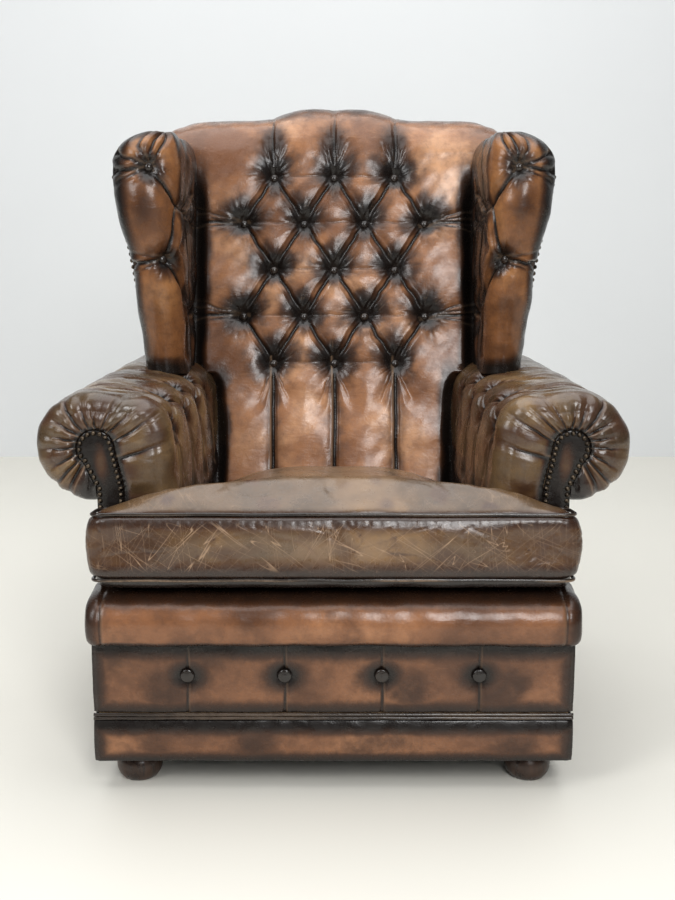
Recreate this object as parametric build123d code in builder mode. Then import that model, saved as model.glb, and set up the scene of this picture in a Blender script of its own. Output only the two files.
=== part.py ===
from build123d import *
import math
import os

# Wing armchair in buttoned leather, in millimetres. It faces -Y and +Z is up.
# The origin is on the floor, at the middle of the width and of the depth.
os.makedirs("parts", exist_ok=True)

# Whole chair
overall_depth = 900.0
crest_height = 1068.0
side_half_width = 356.5
toe_in_share = 0.034
seat_slope = 4.0
back_rake = 14.0
outside_rake = 8.0
cut_overrun = 60.0
pad_clearance = 0.3
leather = 2.0
panel_thickness = 5.0

# Base and feet
foot_height = 48.0
foot_diameter = 70.0
foot_top_diameter = 46.0
foot_sole_diameter = 50.0
foot_bulge_share = 0.48
foot_neck_share = 0.92
foot_half_spacing = 300.0
front_foot_y = -368.0
rear_foot_inset = 62.0
base_bottom = 46.0
base_rear_y = 290.0
lip_overhang = 26.0
side_rail_height = 184.0
rail_thickness = 32.0
block_leg = 120.0
block_height = 60.0
apron_thickness = 13.0
apron_half_width = 357.0
apron_button_pitch = 144.0
apron_button_count = 4
apron_button_diameter = 21.0
apron_button_height = 6.0
apron_seam_width = 6.0
apron_seam_depth = 3.0
apron_dimple_diameter = 32.0
apron_dimple_floor = 22.0
apron_dimple_depth = 4.0
band_bulge = 6.0
band_top = 113.0
cord_diameter = 5.0
cover_thickness = 2.0

# Seat
seat_height = 430.0
deck_front_height = 319.0
deck_thickness = 55.0
lip_bottom = 239.0
lip_half_width = 363.0
lip_corner_radius = 14.0
lip_rear_gap = 6.0
lip_pocket_height = 26.0
lip_roll = 26.0
seat_half_width = 240.0
hessian_thickness = 3.0
spring_wire = 3.8
spring_half_width = 21.0
spring_bend_radius = 12.0
spring_loop_pitch = 33.0
seat_spring_count = 5
seat_spring_spacing = 88.0
back_spring_count = 4
back_spring_spacing = 118.0
clip_length = 18.0
clip_thickness = 1.6

# Loose seat cushion, sewn with a piped seam round the top and the bottom
cushion_thickness = 111.0
cushion_crown = 42.0
cushion_sag_angle = 3.0
crown_rise_share = 0.6
crown_narrowing_share = 0.45
cushion_foot = 15.0
cushion_bulge = 13.0
cushion_foot_inset = 24.0
cushion_ear_narrowing = 140.0
cushion_body_narrowing = 130.0
cushion_front_narrowing = 60.0
cushion_rear_narrowing = 150.0
cushion_ear_half_width = 364.0
cushion_ear_depth = 93.0
cushion_side_gap = 3.0
cushion_back_gap = 4.0
cushion_corner_radius = 24.0
corner_loss = 0.8
piping_diameter = 6.0

# Arms
arm_front_y = -345.0
scroll_x = 366.0
scroll_z = 509.0
scroll_radius = 80.0
shoulder_x = 300.0
shoulder_z = 527.0
shoulder_radius = 54.0
shoulder_end_angle = 174.0
belly_x = 241.5
belly_z = 465.0
waist_z = 400.0
arm_nose_radius = 22.0
facing_neck_x = 315.0
facing_head_radius = 28.5
facing_throat_z = 448.0
facing_thickness = 4.0
facing_proud = 1.0
facing_end_angle = -50.0
stump_thickness = 28.0
stump_foot = 20.0
arm_end_wall = 8.0
tacking_rail_height = 40.0
tacking_rail_bottom = 262.0
tacking_rail_thickness = 26.0
arm_button_pitch = 118.0
first_arm_button_y = -284.0
arm_high_angle = 120.0
arm_low_angle = 174.0
arm_low_button_count = 4
arm_high_button_count = 3

# Back
back_seat_y = 107.0
back_bottom = 284.0
back_half_width = 300.0
back_outer_half_width = 334.0
post_depth = 45.0
post_inner_x = 284.0
post_outer_x = 328.0
post_top = 930.0
crest_rail_height = 52.0
lower_back_rail_height = 50.0
lower_back_rail_bottom = 300.0
spring_room = 9.6
roll_front_z = 976.0
roll_centre_z = 962.0
roll_under_z = 880.0
roll_top_share = 0.47
crest_end_z = 966.0
crest_drop = 68.0
crest_rear_margin = 1.4
crest_width_shares = (0.0, 0.2, 0.32, 0.42, 0.6, 0.88, 0.96, 1.0)
crest_drop_shares = (0.0, 0.06, 0.18, 0.3, 0.36, 0.52, 0.7, 1.0)
waist_drop = 120.0
crest_pleat_length = 60.0
button_column_pitch = 116.0
back_button_counts = (3, 4, 3, 4, 3)
button_row_pitch = 90.0
lowest_button_row = 160.0
button_diameter = 16.0
button_height = 7.0
dimple_diameter = 54.0
dimple_floor_diameter = 18.0
dimple_depth = 20.0
crease_rise = 3.0
pleat_width = 20.0
pleat_depth = 9.0
rim_share = 0.3

# Wings
wing_root = 470.0
wing_top = 1004.0
wing_root_half_width = 336.0
wing_flare = 44.0
wing_inner_half_width = 267.0
wing_draw_in = 30.0
wing_front_y = 4.0
wing_reach = 56.0
wing_roll = 48.0
wing_frame_thickness = 24.0
wing_frame_top = 945.0
wing_panel_top = 964.0
wing_frame_root = 592.0
wing_frame_lap = 12.0
wing_height_shares = (0.0, 0.23, 0.41, 0.6, 0.75, 0.845, 0.91, 0.965, 1.0)
wing_flare_shares = (0.0, 0.0, 0.15, 0.46, 0.82, 1.0, 0.88, 0.5, -0.04)
wing_reach_shares = (0.0, 0.05, 0.5, 0.85, 1.0, 0.97, 0.8, 0.45, -0.1)
wing_draw_in_shares = (0.0, 0.0, 0.0, 0.0, 0.0, 0.05, 0.2, 0.5, 1.0)
front_tuft_levels = (936.0, 781.0)
front_tuft_angles = (104.0, 122.0)
front_tuft_turn = 55.0
wing_pleat_end_angle = 20.0
inner_tuft_levels = (862.0, 677.0)
inner_tuft_y = 60.0
wing_tuft_reach = 120.0

# Nails and screws
nail_diameter = 8.0
nail_pitch = 9.5
nail_inset = 5.0
wing_nail_pitch = 12.0
screw_diameter = 5.0
screw_head_diameter = 10.0
screw_head_height = 3.0
screw_length = 46.0
screw_seat = 24.0
screw_clearance = 0.1
bolt_diameter = 8.0
bolt_embed = 26.0
tee_nut_diameter = 22.0
tee_nut_thickness = 2.0
tee_nut_barrel = 10.0

# Places that follow from the sizes above
front_y = -overall_depth / 2
rear_y = overall_depth / 2
base_front_y = front_y + lip_overhang
rail_bottom = base_bottom + cover_thickness
side_rail_top = rail_bottom + side_rail_height
arm_bottom = lip_bottom + pad_clearance
front_rail_y = base_front_y + apron_thickness
slope_sin = math.sin(math.radians(seat_slope))
slope_cos = math.cos(math.radians(seat_slope))
slope_tan = math.tan(math.radians(seat_slope))
rake_tan = math.tan(math.radians(back_rake))
rake_cos = math.cos(math.radians(back_rake))
rake_sin = math.sin(math.radians(back_rake))
crest_rail_top = post_top + crest_rail_height
outside_tan = math.tan(math.radians(outside_rake))
outside_sin = math.sin(math.radians(outside_rake))
outside_cos = math.cos(math.radians(outside_rake))
toe_run = Vector(-toe_in_share, 1, 0)


def deck_z(y):
    """Height of the sloping seat deck at a depth."""
    return deck_front_height - (y - front_y) * slope_tan


def spring_z(y):
    """Height of the middle of the seat springs' wire at a depth."""
    return deck_z(y) - (deck_thickness + hessian_thickness + 2 * pad_clearance + spring_wire / 2) / slope_cos


def back_face_y(z):
    """Depth of the buttoned face of the back at a height."""
    return back_seat_y + (z - seat_height) * rake_tan


def outside_back_y(z):
    """Depth of the outside back's outer face at a height."""
    return base_rear_y + (z - base_bottom) * outside_tan


def post_front_y(z):
    """Depth of the front faces of the back posts at a height."""
    return outside_back_y(z) - panel_thickness - post_depth


def toe_in(y):
    """How far the sides have closed in at a depth behind the arm fronts."""
    return toe_in_share * (y - arm_front_y)


def between(values, shares, share):
    """Value at a share of a height, on straight lines through a table."""
    for low, high, first, last in zip(shares, shares[1:], values, values[1:]):
        if share <= high:
            break
    return first + (last - first) * (share - low) / (high - low)


def on_scroll(angle):
    """Point on the arm scroll at an angle."""
    turn = math.radians(angle)
    return (scroll_x + scroll_radius * math.cos(turn), scroll_z + scroll_radius * math.sin(turn))


def on_shoulder(angle):
    """Point on the rounded inner shoulder of the arm at an angle."""
    turn = math.radians(angle)
    return (shoulder_x + shoulder_radius * math.cos(turn), shoulder_z + shoulder_radius * math.sin(turn))


def on_head(angle):
    """Point on the round head of the arm facing at an angle."""
    turn = math.radians(angle)
    return (
        side_half_width + facing_head_radius * math.cos(turn),
        scroll_z + facing_head_radius * math.sin(turn),
    )


def write(piece, name):
    """Label a finished piece and write its file."""
    piece.part.label = name
    export_step(piece.part, f"parts/{name}.step")


def write_pair(right_piece, name):
    """Write a piece of the right side, and its mirror image on the left."""
    with BuildPart() as left_piece:
        mirror(right_piece.part, about=Plane.YZ)
    write(right_piece, f"right_{name}")
    write(left_piece, f"left_{name}")


# Planes that the pieces are drawn on
arm_plane = Plane((0, arm_front_y, 0), x_dir=(1, 0, 0), z_dir=(0, -1, 0))
deck_plane = Plane((0, front_y, deck_front_height), x_dir=(1, 0, 0), z_dir=(0, slope_sin, slope_cos))
back_plane = Plane((0, back_seat_y, seat_height), x_dir=(1, 0, 0), z_dir=(0, -rake_cos, rake_sin))
outside_plane = Plane(
    (0, base_rear_y, base_bottom), x_dir=(1, 0, 0), z_dir=(0, -outside_cos, outside_sin)
)
side_plane = Plane((side_half_width, arm_front_y, 0), x_dir=toe_run, z_dir=(1, toe_in_share, 0))


def up_outside(z):
    """Distance up the outside back's slope to a height."""
    return (z - base_bottom) / outside_cos


def extrude_back(length, mode=Mode.ADD):
    """Extrude a section of the right side backwards, closing in as the chair does."""
    extrude(amount=length * toe_run.length, dir=toe_run, mode=mode)


# Bun feet, turned, each drilled for the bolt that holds it
def foot_places():
    """Centres of the four feet, on the floor."""
    rear_foot_y = base_rear_y - rear_foot_inset
    return {
        "front_left": (-foot_half_spacing, front_foot_y),
        "front_right": (foot_half_spacing, front_foot_y),
        "rear_left": (-foot_half_spacing + toe_in(rear_foot_y), rear_foot_y),
        "rear_right": (foot_half_spacing - toe_in(rear_foot_y), rear_foot_y),
    }


for corner, (foot_x, foot_y) in foot_places().items():
    with BuildPart() as foot:
        with BuildSketch(Plane((foot_x, foot_y, 0), x_dir=(1, 0, 0), z_dir=(0, -1, 0))):
            with BuildLine():
                Line((0, 0), (foot_sole_diameter / 2, 0))
                ThreePointArc(
                    (foot_sole_diameter / 2, 0),
                    (foot_diameter / 2, foot_height * foot_bulge_share),
                    (foot_top_diameter / 2, foot_height * foot_neck_share),
                )
                Line(
                    (foot_top_diameter / 2, foot_height * foot_neck_share),
                    (foot_top_diameter / 2, foot_height),
                )
                Line((foot_top_diameter / 2, foot_height), (0, foot_height))
                Line((0, foot_height), (0, 0))
            make_face()
        revolve(axis=Axis((foot_x, foot_y, 0), (0, 0, 1)))
        with Locations((foot_x, foot_y, foot_height)):
            Hole(bolt_diameter / 2, depth=bolt_embed)
    write(foot, f"{corner}_foot")

with BuildPart() as foot_bolts:
    with Locations(*[(x, y, foot_height - bolt_embed) for x, y in foot_places().values()]):
        Cylinder(
            bolt_diameter / 2,
            bolt_embed + block_height,
            align=(Align.CENTER, Align.CENTER, Align.MIN),
        )
write(foot_bolts, "foot_bolts")

with BuildPart() as tee_nuts:
    with Locations(*[(x, y, rail_bottom + block_height) for x, y in foot_places().values()]):
        Cylinder(
            tee_nut_diameter / 2, tee_nut_thickness, align=(Align.CENTER, Align.CENTER, Align.MIN)
        )
        Cylinder(
            bolt_diameter / 2 + leather, tee_nut_barrel, align=(Align.CENTER, Align.CENTER, Align.MAX)
        )
        Cylinder(bolt_diameter / 2, cut_overrun, mode=Mode.SUBTRACT)
write(tee_nuts, "foot_tee_nuts")


# Seat frame: four rails with screwed blocks in the corners
rear_rail_y = outside_back_y(rail_bottom) - panel_thickness - rail_thickness
rail_outer_x = side_half_width - panel_thickness
rail_inner_x = rail_outer_x - rail_thickness
side_rail_front_y = front_rail_y + rail_thickness
clip_rise = clip_thickness + pad_clearance + spring_wire / 2
front_clip_y = front_rail_y + rail_thickness / 2
rear_clip_y = rear_rail_y + rail_thickness / 2
front_rail_top = spring_z(front_clip_y) - clip_rise
rear_rail_top = spring_z(rear_clip_y) - clip_rise


def block_corners():
    """Inner corners of the frame with the way each block runs from them."""
    front_x = rail_inner_x - toe_in(side_rail_front_y)
    rear_x = rail_inner_x - toe_in(rear_rail_y)
    return [
        (-front_x, side_rail_front_y, 1, 1),
        (front_x, side_rail_front_y, -1, 1),
        (-rear_x, rear_rail_y, 1, -1),
        (rear_x, rear_rail_y, -1, -1),
    ]


def screw_planes():
    """Planes at the screws' heads, each with +Z along the screw into its rail."""
    planes = []
    for corner_x, corner_y, way_x, way_y in block_corners():
        along = block_leg / 2
        low, high = rail_bottom + block_height / 4, rail_bottom + block_height * 3 / 4
        planes.append(
            Plane(
                (corner_x + way_x * along, corner_y + way_y * screw_seat, low),
                x_dir=(1, 0, 0),
                z_dir=(0, -way_y, 0),
            )
        )
        planes.append(
            Plane(
                (corner_x + way_x * screw_seat, corner_y + way_y * along, high),
                x_dir=(0, 1, 0),
                z_dir=(-way_x, 0, 0),
            )
        )
    return planes


def add_rods(planes, diameter, length):
    """Add a round rod on each plane, standing on it."""
    for plane in planes:
        with BuildSketch(plane) as end:
            Circle(diameter / 2)
        extrude(end.sketch, amount=length)


# Holes for the screws, with a counterbore for each head
with BuildPart() as screw_holes:
    add_rods(screw_planes(), screw_diameter + 2 * screw_clearance, screw_length + screw_clearance)
    head_planes = [plane.offset(-block_leg / 2) for plane in screw_planes()]
    add_rods(head_planes, screw_head_diameter + 2 * screw_clearance, block_leg / 2)

with BuildPart() as block_screws:
    add_rods(screw_planes(), screw_diameter, screw_length)
    add_rods(
        [plane.offset(-screw_head_height) for plane in screw_planes()],
        screw_head_diameter,
        screw_head_height,
    )
write(block_screws, "block_screws")

with BuildPart() as front_rail:
    with BuildSketch(Plane.XY.offset(rail_bottom)):
        with Locations((0, front_rail_y + rail_thickness / 2)):
            Rectangle(2 * rail_outer_x, rail_thickness)
    extrude(amount=front_rail_top - rail_bottom)
    add(screw_holes.part, mode=Mode.SUBTRACT)
write(front_rail, "front_rail")

with BuildPart() as right_side_rail:
    with BuildSketch(arm_plane.offset(arm_front_y - side_rail_front_y)):
        with Locations((rail_outer_x - rail_thickness / 2 - toe_in(side_rail_front_y), rail_bottom)):
            Rectangle(rail_thickness, side_rail_height, align=(Align.CENTER, Align.MIN))
    extrude_back(rear_rail_y - side_rail_front_y)
    add(screw_holes.part, mode=Mode.SUBTRACT)
write_pair(right_side_rail, "side_rail")

with BuildPart() as rear_rail:
    with BuildSketch(Plane.XY.offset(rail_bottom)):
        with Locations((0, rear_rail_y + rail_thickness / 2)):
            Rectangle(2 * (rail_outer_x - toe_in(rear_rail_y + rail_thickness)), rail_thickness)
    extrude(amount=rear_rail_top - rail_bottom)
    add(screw_holes.part, mode=Mode.SUBTRACT)
write(rear_rail, "rear_rail")

with BuildPart() as corner_blocks:
    for corner_x, corner_y, way_x, way_y in block_corners():
        skew_x = corner_x - way_y * math.copysign(toe_in_share, corner_x) * block_leg
        with BuildSketch(Plane.XY.offset(rail_bottom)):
            Polygon(
                (corner_x, corner_y),
                (corner_x + way_x * block_leg, corner_y),
                (skew_x, corner_y + way_y * block_leg),
                align=None,
            )
        extrude(amount=block_height)
    with Locations(*[(x, y, rail_bottom) for x, y in foot_places().values()]):
        Cylinder(bolt_diameter / 2, 2 * block_height + cut_overrun, mode=Mode.SUBTRACT)
    with Locations(*[(x, y, rail_bottom + block_height) for x, y in foot_places().values()]):
        Cylinder(bolt_diameter / 2 + leather, 2 * tee_nut_barrel, mode=Mode.SUBTRACT)
    add(screw_holes.part, mode=Mode.SUBTRACT)
write(corner_blocks, "corner_blocks")

with BuildPart() as dust_cover:
    with BuildSketch(Plane.XY.offset(base_bottom)):
        Polygon(
            (-rail_outer_x, front_rail_y),
            (rail_outer_x, front_rail_y),
            (rail_outer_x - toe_in(rear_rail_y + rail_thickness), rear_rail_y + rail_thickness),
            (-rail_outer_x + toe_in(rear_rail_y + rail_thickness), rear_rail_y + rail_thickness),
            align=None,
        )
        with Locations(*foot_places().values()):
            Circle(foot_top_diameter / 2 + pad_clearance, mode=Mode.SUBTRACT)
    extrude(amount=cover_thickness)
write(dust_cover, "dust_cover")


# Arm outlines, drawn on the front of the arm. A straight top touches the scroll and the shoulder.
shoulder_span = math.dist((shoulder_x, shoulder_z), (scroll_x, scroll_z))
shoulder_lean = math.degrees(math.atan2(scroll_z - shoulder_z, scroll_x - shoulder_x))
arm_top_angle = shoulder_lean + math.degrees(math.acos((shoulder_radius - scroll_radius) / shoulder_span))


def arm_outline():
    """Outline of the whole arm: scroll, rounded shoulder and inside face."""
    underside = (side_half_width, scroll_z - math.sqrt(scroll_radius**2 - (scroll_x - side_half_width) ** 2))
    with BuildLine() as outline:
        ThreePointArc(underside, on_scroll(-30), on_scroll(30))
        ThreePointArc(on_scroll(30), on_scroll((30 + arm_top_angle) / 2), on_scroll(arm_top_angle))
        Line(on_scroll(arm_top_angle), on_shoulder(arm_top_angle))
        ThreePointArc(
            on_shoulder(arm_top_angle),
            on_shoulder((arm_top_angle + shoulder_end_angle) / 2),
            on_shoulder(shoulder_end_angle),
        )
        ThreePointArc(on_shoulder(shoulder_end_angle), (belly_x, belly_z), (seat_half_width, waist_z))
        Line((seat_half_width, waist_z), (seat_half_width, arm_bottom))
        Line((seat_half_width, arm_bottom), (side_half_width, arm_bottom))
        Line((side_half_width, arm_bottom), underside)
    return outline.edges()


def keyhole_outline():
    """Outline of the arm facing: a straight neck under a round head."""
    with BuildLine() as outline:
        Line((facing_neck_x, arm_bottom), (facing_neck_x, facing_throat_z))
        Line((facing_neck_x, facing_throat_z), on_head(180))
        ThreePointArc(on_head(180), on_head(135), on_head(90))
        ThreePointArc(on_head(90), on_head(45), on_head(0))
        ThreePointArc(on_head(0), on_head(facing_end_angle / 2), on_head(facing_end_angle))
        Line(on_head(facing_end_angle), (side_half_width, facing_throat_z))
        Line((side_half_width, facing_throat_z), (side_half_width, arm_bottom))
        Line((side_half_width, arm_bottom), (facing_neck_x, arm_bottom))
    return outline.edges()


arm_length = outside_back_y(scroll_z + scroll_radius) - arm_front_y

# Room that the arm takes up, with a clearance round it, for cutting what meets it
with BuildPart() as arm_room:
    with BuildSketch(arm_plane):
        make_face(arm_outline())
        offset(amount=pad_clearance, kind=Kind.INTERSECTION, mode=Mode.REPLACE)
    extrude_back(arm_length)
    mirror(about=Plane.YZ)

# Room between the back posts, for the springs and the rails
with BuildPart() as back_bay:
    with BuildSketch(Plane.YZ):
        Polygon(
            (post_front_y(0) - pad_clearance, 0),
            (rear_y + cut_overrun, 0),
            (rear_y + cut_overrun, crest_height),
            (post_front_y(crest_height) - pad_clearance, crest_height),
            align=None,
        )
    extrude(amount=post_outer_x + pad_clearance, both=True)


# Places of the buttons
def back_buttons_places():
    """Places of the back's buttons on its sloping face, row by row from the lowest."""
    rows = []
    for row, count in enumerate(back_button_counts):
        height = lowest_button_row + row * button_row_pitch
        rows.append([((k - (count - 1) / 2) * button_column_pitch, height) for k in range(count)])
    return rows


def neighbours(low_row, high_row, reach):
    """Pairs of places in two rows that lie no further apart along the row than the reach."""
    return [(low, high) for low in low_row for high in high_row if abs(low[0] - high[0]) < reach]


def arm_button_places(level, count, first_y):
    """Centres of one row of buttons along the right arm, at a point of its outline."""
    depths = [first_y + k * arm_button_pitch for k in range(count)]
    return [Vector(level[0] - toe_in(y), y, level[1]) for y in depths]


def facing_out(point, normal):
    """Plane at a point of a padded surface, with +Z pointing out of the pad."""
    return Plane(point, x_dir=(0, 0, 1), z_dir=normal)


def cut_dimple(
    plane, mouth_diameter=dimple_diameter, floor_diameter=dimple_floor_diameter, depth=dimple_depth
):
    """Cut the tapered dimple that a button is pulled down into."""
    with BuildSketch(plane.offset(-depth)) as floor:
        Circle(floor_diameter / 2)
    with BuildSketch(plane.offset(depth)) as above:
        Circle(mouth_diameter - floor_diameter / 2)
    loft([floor.sketch, above.sketch], ruled=True, mode=Mode.SUBTRACT)


def cut_pleat(start, end, normal, width=pleat_width, depth=pleat_depth):
    """Cut a V-shaped pleat in a padded surface from one point to another."""
    along = Vector(*end) - Vector(*start)
    rise = crease_rise * depth
    half_width = width / 2 * (1 + crease_rise)
    with BuildSketch(Plane(start, x_dir=Vector(*normal).cross(along), z_dir=along)) as vee:
        Polygon((-half_width, rise), (half_width, rise), (0, -depth), align=None)
    extrude(vee.sketch, amount=along.length, mode=Mode.SUBTRACT)


def add_button(plane, diameter, height):
    """Add a domed button that stands on a plane."""
    rim = height * rim_share
    dome = height - rim
    dome_radius = (diameter**2 / 4 + dome**2) / (2 * dome)
    turn = math.asin(diameter / 2 / dome_radius) / 2
    middle = (dome_radius * math.sin(turn), dome_radius * (1 - math.cos(turn)) - height)
    with BuildSketch(Plane(plane.origin, x_dir=plane.x_dir, z_dir=plane.y_dir)) as section:
        with BuildLine():
            Line((0, 0), (diameter / 2, 0))
            Line((diameter / 2, 0), (diameter / 2, -rim))
            ThreePointArc((diameter / 2, -rim), middle, (0, -height))
            Line((0, -height), (0, 0))
        make_face()
    revolve(section.sketch, axis=Axis(plane.origin, plane.z_dir))


# Inside arms: padded leather over a keyhole-shaped hollow that holds the arm's frame
arm_low_level = on_shoulder(arm_low_angle)
arm_high_level = on_shoulder(arm_high_angle)
arm_low_normal = Vector(math.cos(math.radians(arm_low_angle)), 0, math.sin(math.radians(arm_low_angle)))
arm_high_normal = Vector(
    math.cos(math.radians(arm_high_angle)), 0, math.sin(math.radians(arm_high_angle))
)
arm_low_buttons = arm_button_places(arm_low_level, arm_low_button_count, first_arm_button_y)
arm_high_buttons = arm_button_places(
    arm_high_level, arm_high_button_count, first_arm_button_y + arm_button_pitch / 2
)

with BuildPart() as right_inside_arm:
    with BuildSketch(arm_plane):
        make_face(arm_outline())
    extrude_back(arm_length)
    front_edges = edges().filter_by_position(Axis.Y, arm_front_y - leather, arm_front_y + leather)
    fillet(front_edges.filter_by(lambda edge: edge.center().Z > waist_z - leather), arm_nose_radius)
    for place in arm_low_buttons:
        cut_pleat(
            place,
            (seat_half_width - toe_in(place.Y), place.Y, arm_bottom),
            (-1, 0, 0),
        )
        for high_place in arm_high_buttons:
            if abs(place.Y - high_place.Y) < arm_button_pitch:
                cut_pleat(place, high_place, arm_low_normal)
    for place in arm_low_buttons:
        cut_dimple(facing_out(place, arm_low_normal))
    for place in arm_high_buttons:
        cut_dimple(facing_out(place, arm_high_normal))
    with BuildSketch(arm_plane):
        make_face(keyhole_outline())
    extrude_back(outside_back_y(arm_bottom) - arm_front_y - arm_end_wall, mode=Mode.SUBTRACT)
    with BuildSketch(arm_plane):
        with Locations((side_half_width, arm_bottom)):
            Rectangle(
                panel_thickness,
                facing_throat_z - leather + pad_clearance - arm_bottom,
                align=(Align.MAX, Align.MIN),
            )
    extrude_back(arm_length, mode=Mode.SUBTRACT)
    split(bisect_by=outside_plane.offset(panel_thickness), keep=Keep.TOP)
    add(back_bay.part, mode=Mode.SUBTRACT)
write_pair(right_inside_arm, "inside_arm")

with BuildPart() as arm_buttons:
    for place in arm_low_buttons:
        add_button(facing_out(place, arm_low_normal).offset(-dimple_depth), button_diameter, button_height)
    for place in arm_high_buttons:
        add_button(facing_out(place, arm_high_normal).offset(-dimple_depth), button_diameter, button_height)
    mirror(about=Plane.YZ)
write(arm_buttons, "arm_buttons")

# Arm facing: a leather-covered keyhole board with a row of nails inside its edge
with BuildPart() as right_arm_facing:
    with BuildSketch(arm_plane.offset(facing_proud)):
        make_face(keyhole_outline())
        offset(amount=-pad_clearance, kind=Kind.INTERSECTION, mode=Mode.REPLACE)
    extrude_back(facing_thickness)
write_pair(right_arm_facing, "arm_facing")


def spaced(start, end, pitch):
    """Points from one place to another, about a pitch apart."""
    gaps = max(1, round(math.dist(start, end) / pitch))
    return [
        tuple(a + (b - a) * k / gaps for a, b in zip(start, end)) for k in range(gaps)
    ]


def facing_nail_places():
    """Places of the nails on the facing: up the neck, round the head and down again."""
    inner_x = facing_neck_x + nail_inset
    outer_x = side_half_width - nail_inset
    ring = facing_head_radius - nail_inset
    sweep_angle = 180 - facing_end_angle
    steps = round(math.radians(sweep_angle) * ring / nail_pitch)
    head = []
    for k in range(steps + 1):
        turn = math.radians(180 - sweep_angle * k / steps)
        head.append((side_half_width + ring * math.cos(turn), scroll_z + ring * math.sin(turn)))
    return (
        spaced((inner_x, arm_bottom + nail_inset), (inner_x, facing_throat_z), nail_pitch)
        + spaced((inner_x, facing_throat_z), head[0], nail_pitch)
        + head[:-1]
        + spaced(head[-1], (outer_x, facing_throat_z), nail_pitch)
        + spaced((outer_x, facing_throat_z), (outer_x, arm_bottom), nail_pitch)
    )


with BuildPart(arm_plane.offset(facing_proud)) as facing_nails:
    with Locations(*facing_nail_places()):
        Sphere(nail_diameter / 2, arc_size1=0, align=(Align.CENTER, Align.CENTER, Align.MIN))
    mirror(about=Plane.YZ)
write(facing_nails, "facing_nails")

# Arm frame: a keyhole-shaped stump at the front, a round rail under the scroll
# and a rail that the lower edge of the leather is tacked to
stump_front_y = arm_front_y - facing_proud + facing_thickness

with BuildPart() as right_arm_stump:
    with BuildSketch(arm_plane.offset(arm_front_y - stump_front_y)):
        make_face(keyhole_outline())
        offset(amount=-2 * pad_clearance, kind=Kind.INTERSECTION, mode=Mode.REPLACE)
        with Locations((rail_outer_x, 0)):
            Rectangle(
                rail_thickness,
                facing_throat_z + pad_clearance,
                align=(Align.MIN, Align.MIN),
                mode=Mode.SUBTRACT,
            )
        with Locations((facing_neck_x + 2 * pad_clearance, side_rail_top)):
            Rectangle(
                rail_outer_x - facing_neck_x - 2 * pad_clearance, stump_foot, align=(Align.MIN, Align.MIN)
            )
    extrude_back(stump_thickness)
write_pair(right_arm_stump, "arm_stump")

stump_rear_y = stump_front_y + stump_thickness
arm_rail_end_y = post_front_y(scroll_z - facing_head_radius)

with BuildPart() as right_arm_rail:
    with BuildSketch(arm_plane.offset(arm_front_y - stump_rear_y)):
        with Locations((side_half_width - toe_in(stump_rear_y), scroll_z)):
            Circle(facing_head_radius - 2 * pad_clearance)
    extrude_back(arm_rail_end_y - stump_rear_y)
write_pair(right_arm_rail, "arm_rail")

with BuildPart() as right_tacking_rail:
    with BuildSketch(arm_plane.offset(arm_front_y - stump_rear_y)):
        with Locations((facing_neck_x + pad_clearance - toe_in(stump_rear_y), tacking_rail_bottom)):
            Rectangle(tacking_rail_thickness, tacking_rail_height, align=Align.MIN)
    extrude_back(post_front_y(tacking_rail_bottom) - stump_rear_y)
write_pair(right_tacking_rail, "arm_tacking_rail")

# Outside arm: a flat covered panel, stepped at the front below the arm
with BuildPart() as right_outside_arm:
    with BuildSketch(side_plane):
        base_reach = (front_rail_y + pad_clearance - arm_front_y) / toe_run.length
        arm_reach = (stump_front_y + pad_clearance - arm_front_y) / toe_run.length
        Polygon(
            (base_reach, base_bottom),
            (outside_back_y(base_bottom) - panel_thickness - arm_front_y, base_bottom),
            (outside_back_y(facing_throat_z) - panel_thickness - arm_front_y, facing_throat_z - leather),
            (arm_reach, facing_throat_z - leather),
            (arm_reach, lip_bottom),
            (base_reach, lip_bottom),
            align=None,
        )
    extrude(amount=-panel_thickness + pad_clearance)
write_pair(right_outside_arm, "outside_arm")

# Back frame: raked posts, with a crest rail on their tops and a rail above the seat
with BuildPart() as right_back_post:
    with BuildSketch(Plane.YZ.offset(post_inner_x)):
        Polygon(
            (post_front_y(rear_rail_top), rear_rail_top),
            (post_front_y(rear_rail_top) + post_depth, rear_rail_top),
            (post_front_y(post_top) + post_depth, post_top),
            (post_front_y(post_top), post_top),
            align=None,
        )
    extrude(amount=post_outer_x - post_inner_x)
write_pair(right_back_post, "back_post")


def raked_rail(low, high, half_width):
    """Rail along the chair's width, as deep as the posts and raked as they are."""
    with BuildSketch(Plane.YZ) as section:
        Polygon(
            (post_front_y(low), low),
            (post_front_y(low) + post_depth, low),
            (post_front_y(high) + post_depth, high),
            (post_front_y(high), high),
            align=None,
        )
    extrude(section.sketch, amount=half_width, both=True)


with BuildPart() as crest_rail:
    raked_rail(post_top, post_top + crest_rail_height, post_outer_x)
write(crest_rail, "crest_rail")

with BuildPart() as lower_back_rail:
    raked_rail(lower_back_rail_bottom, lower_back_rail_bottom + lower_back_rail_height, post_inner_x)
write(lower_back_rail, "lower_back_rail")


# Inside back: a deep buttoned pad that rolls over the crest rail
def crest_z(share):
    """Top of the crest at a share of its half width: a hump between two gentle slopes."""
    return crest_height - crest_drop * between(crest_drop_shares, crest_width_shares, share)


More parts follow.
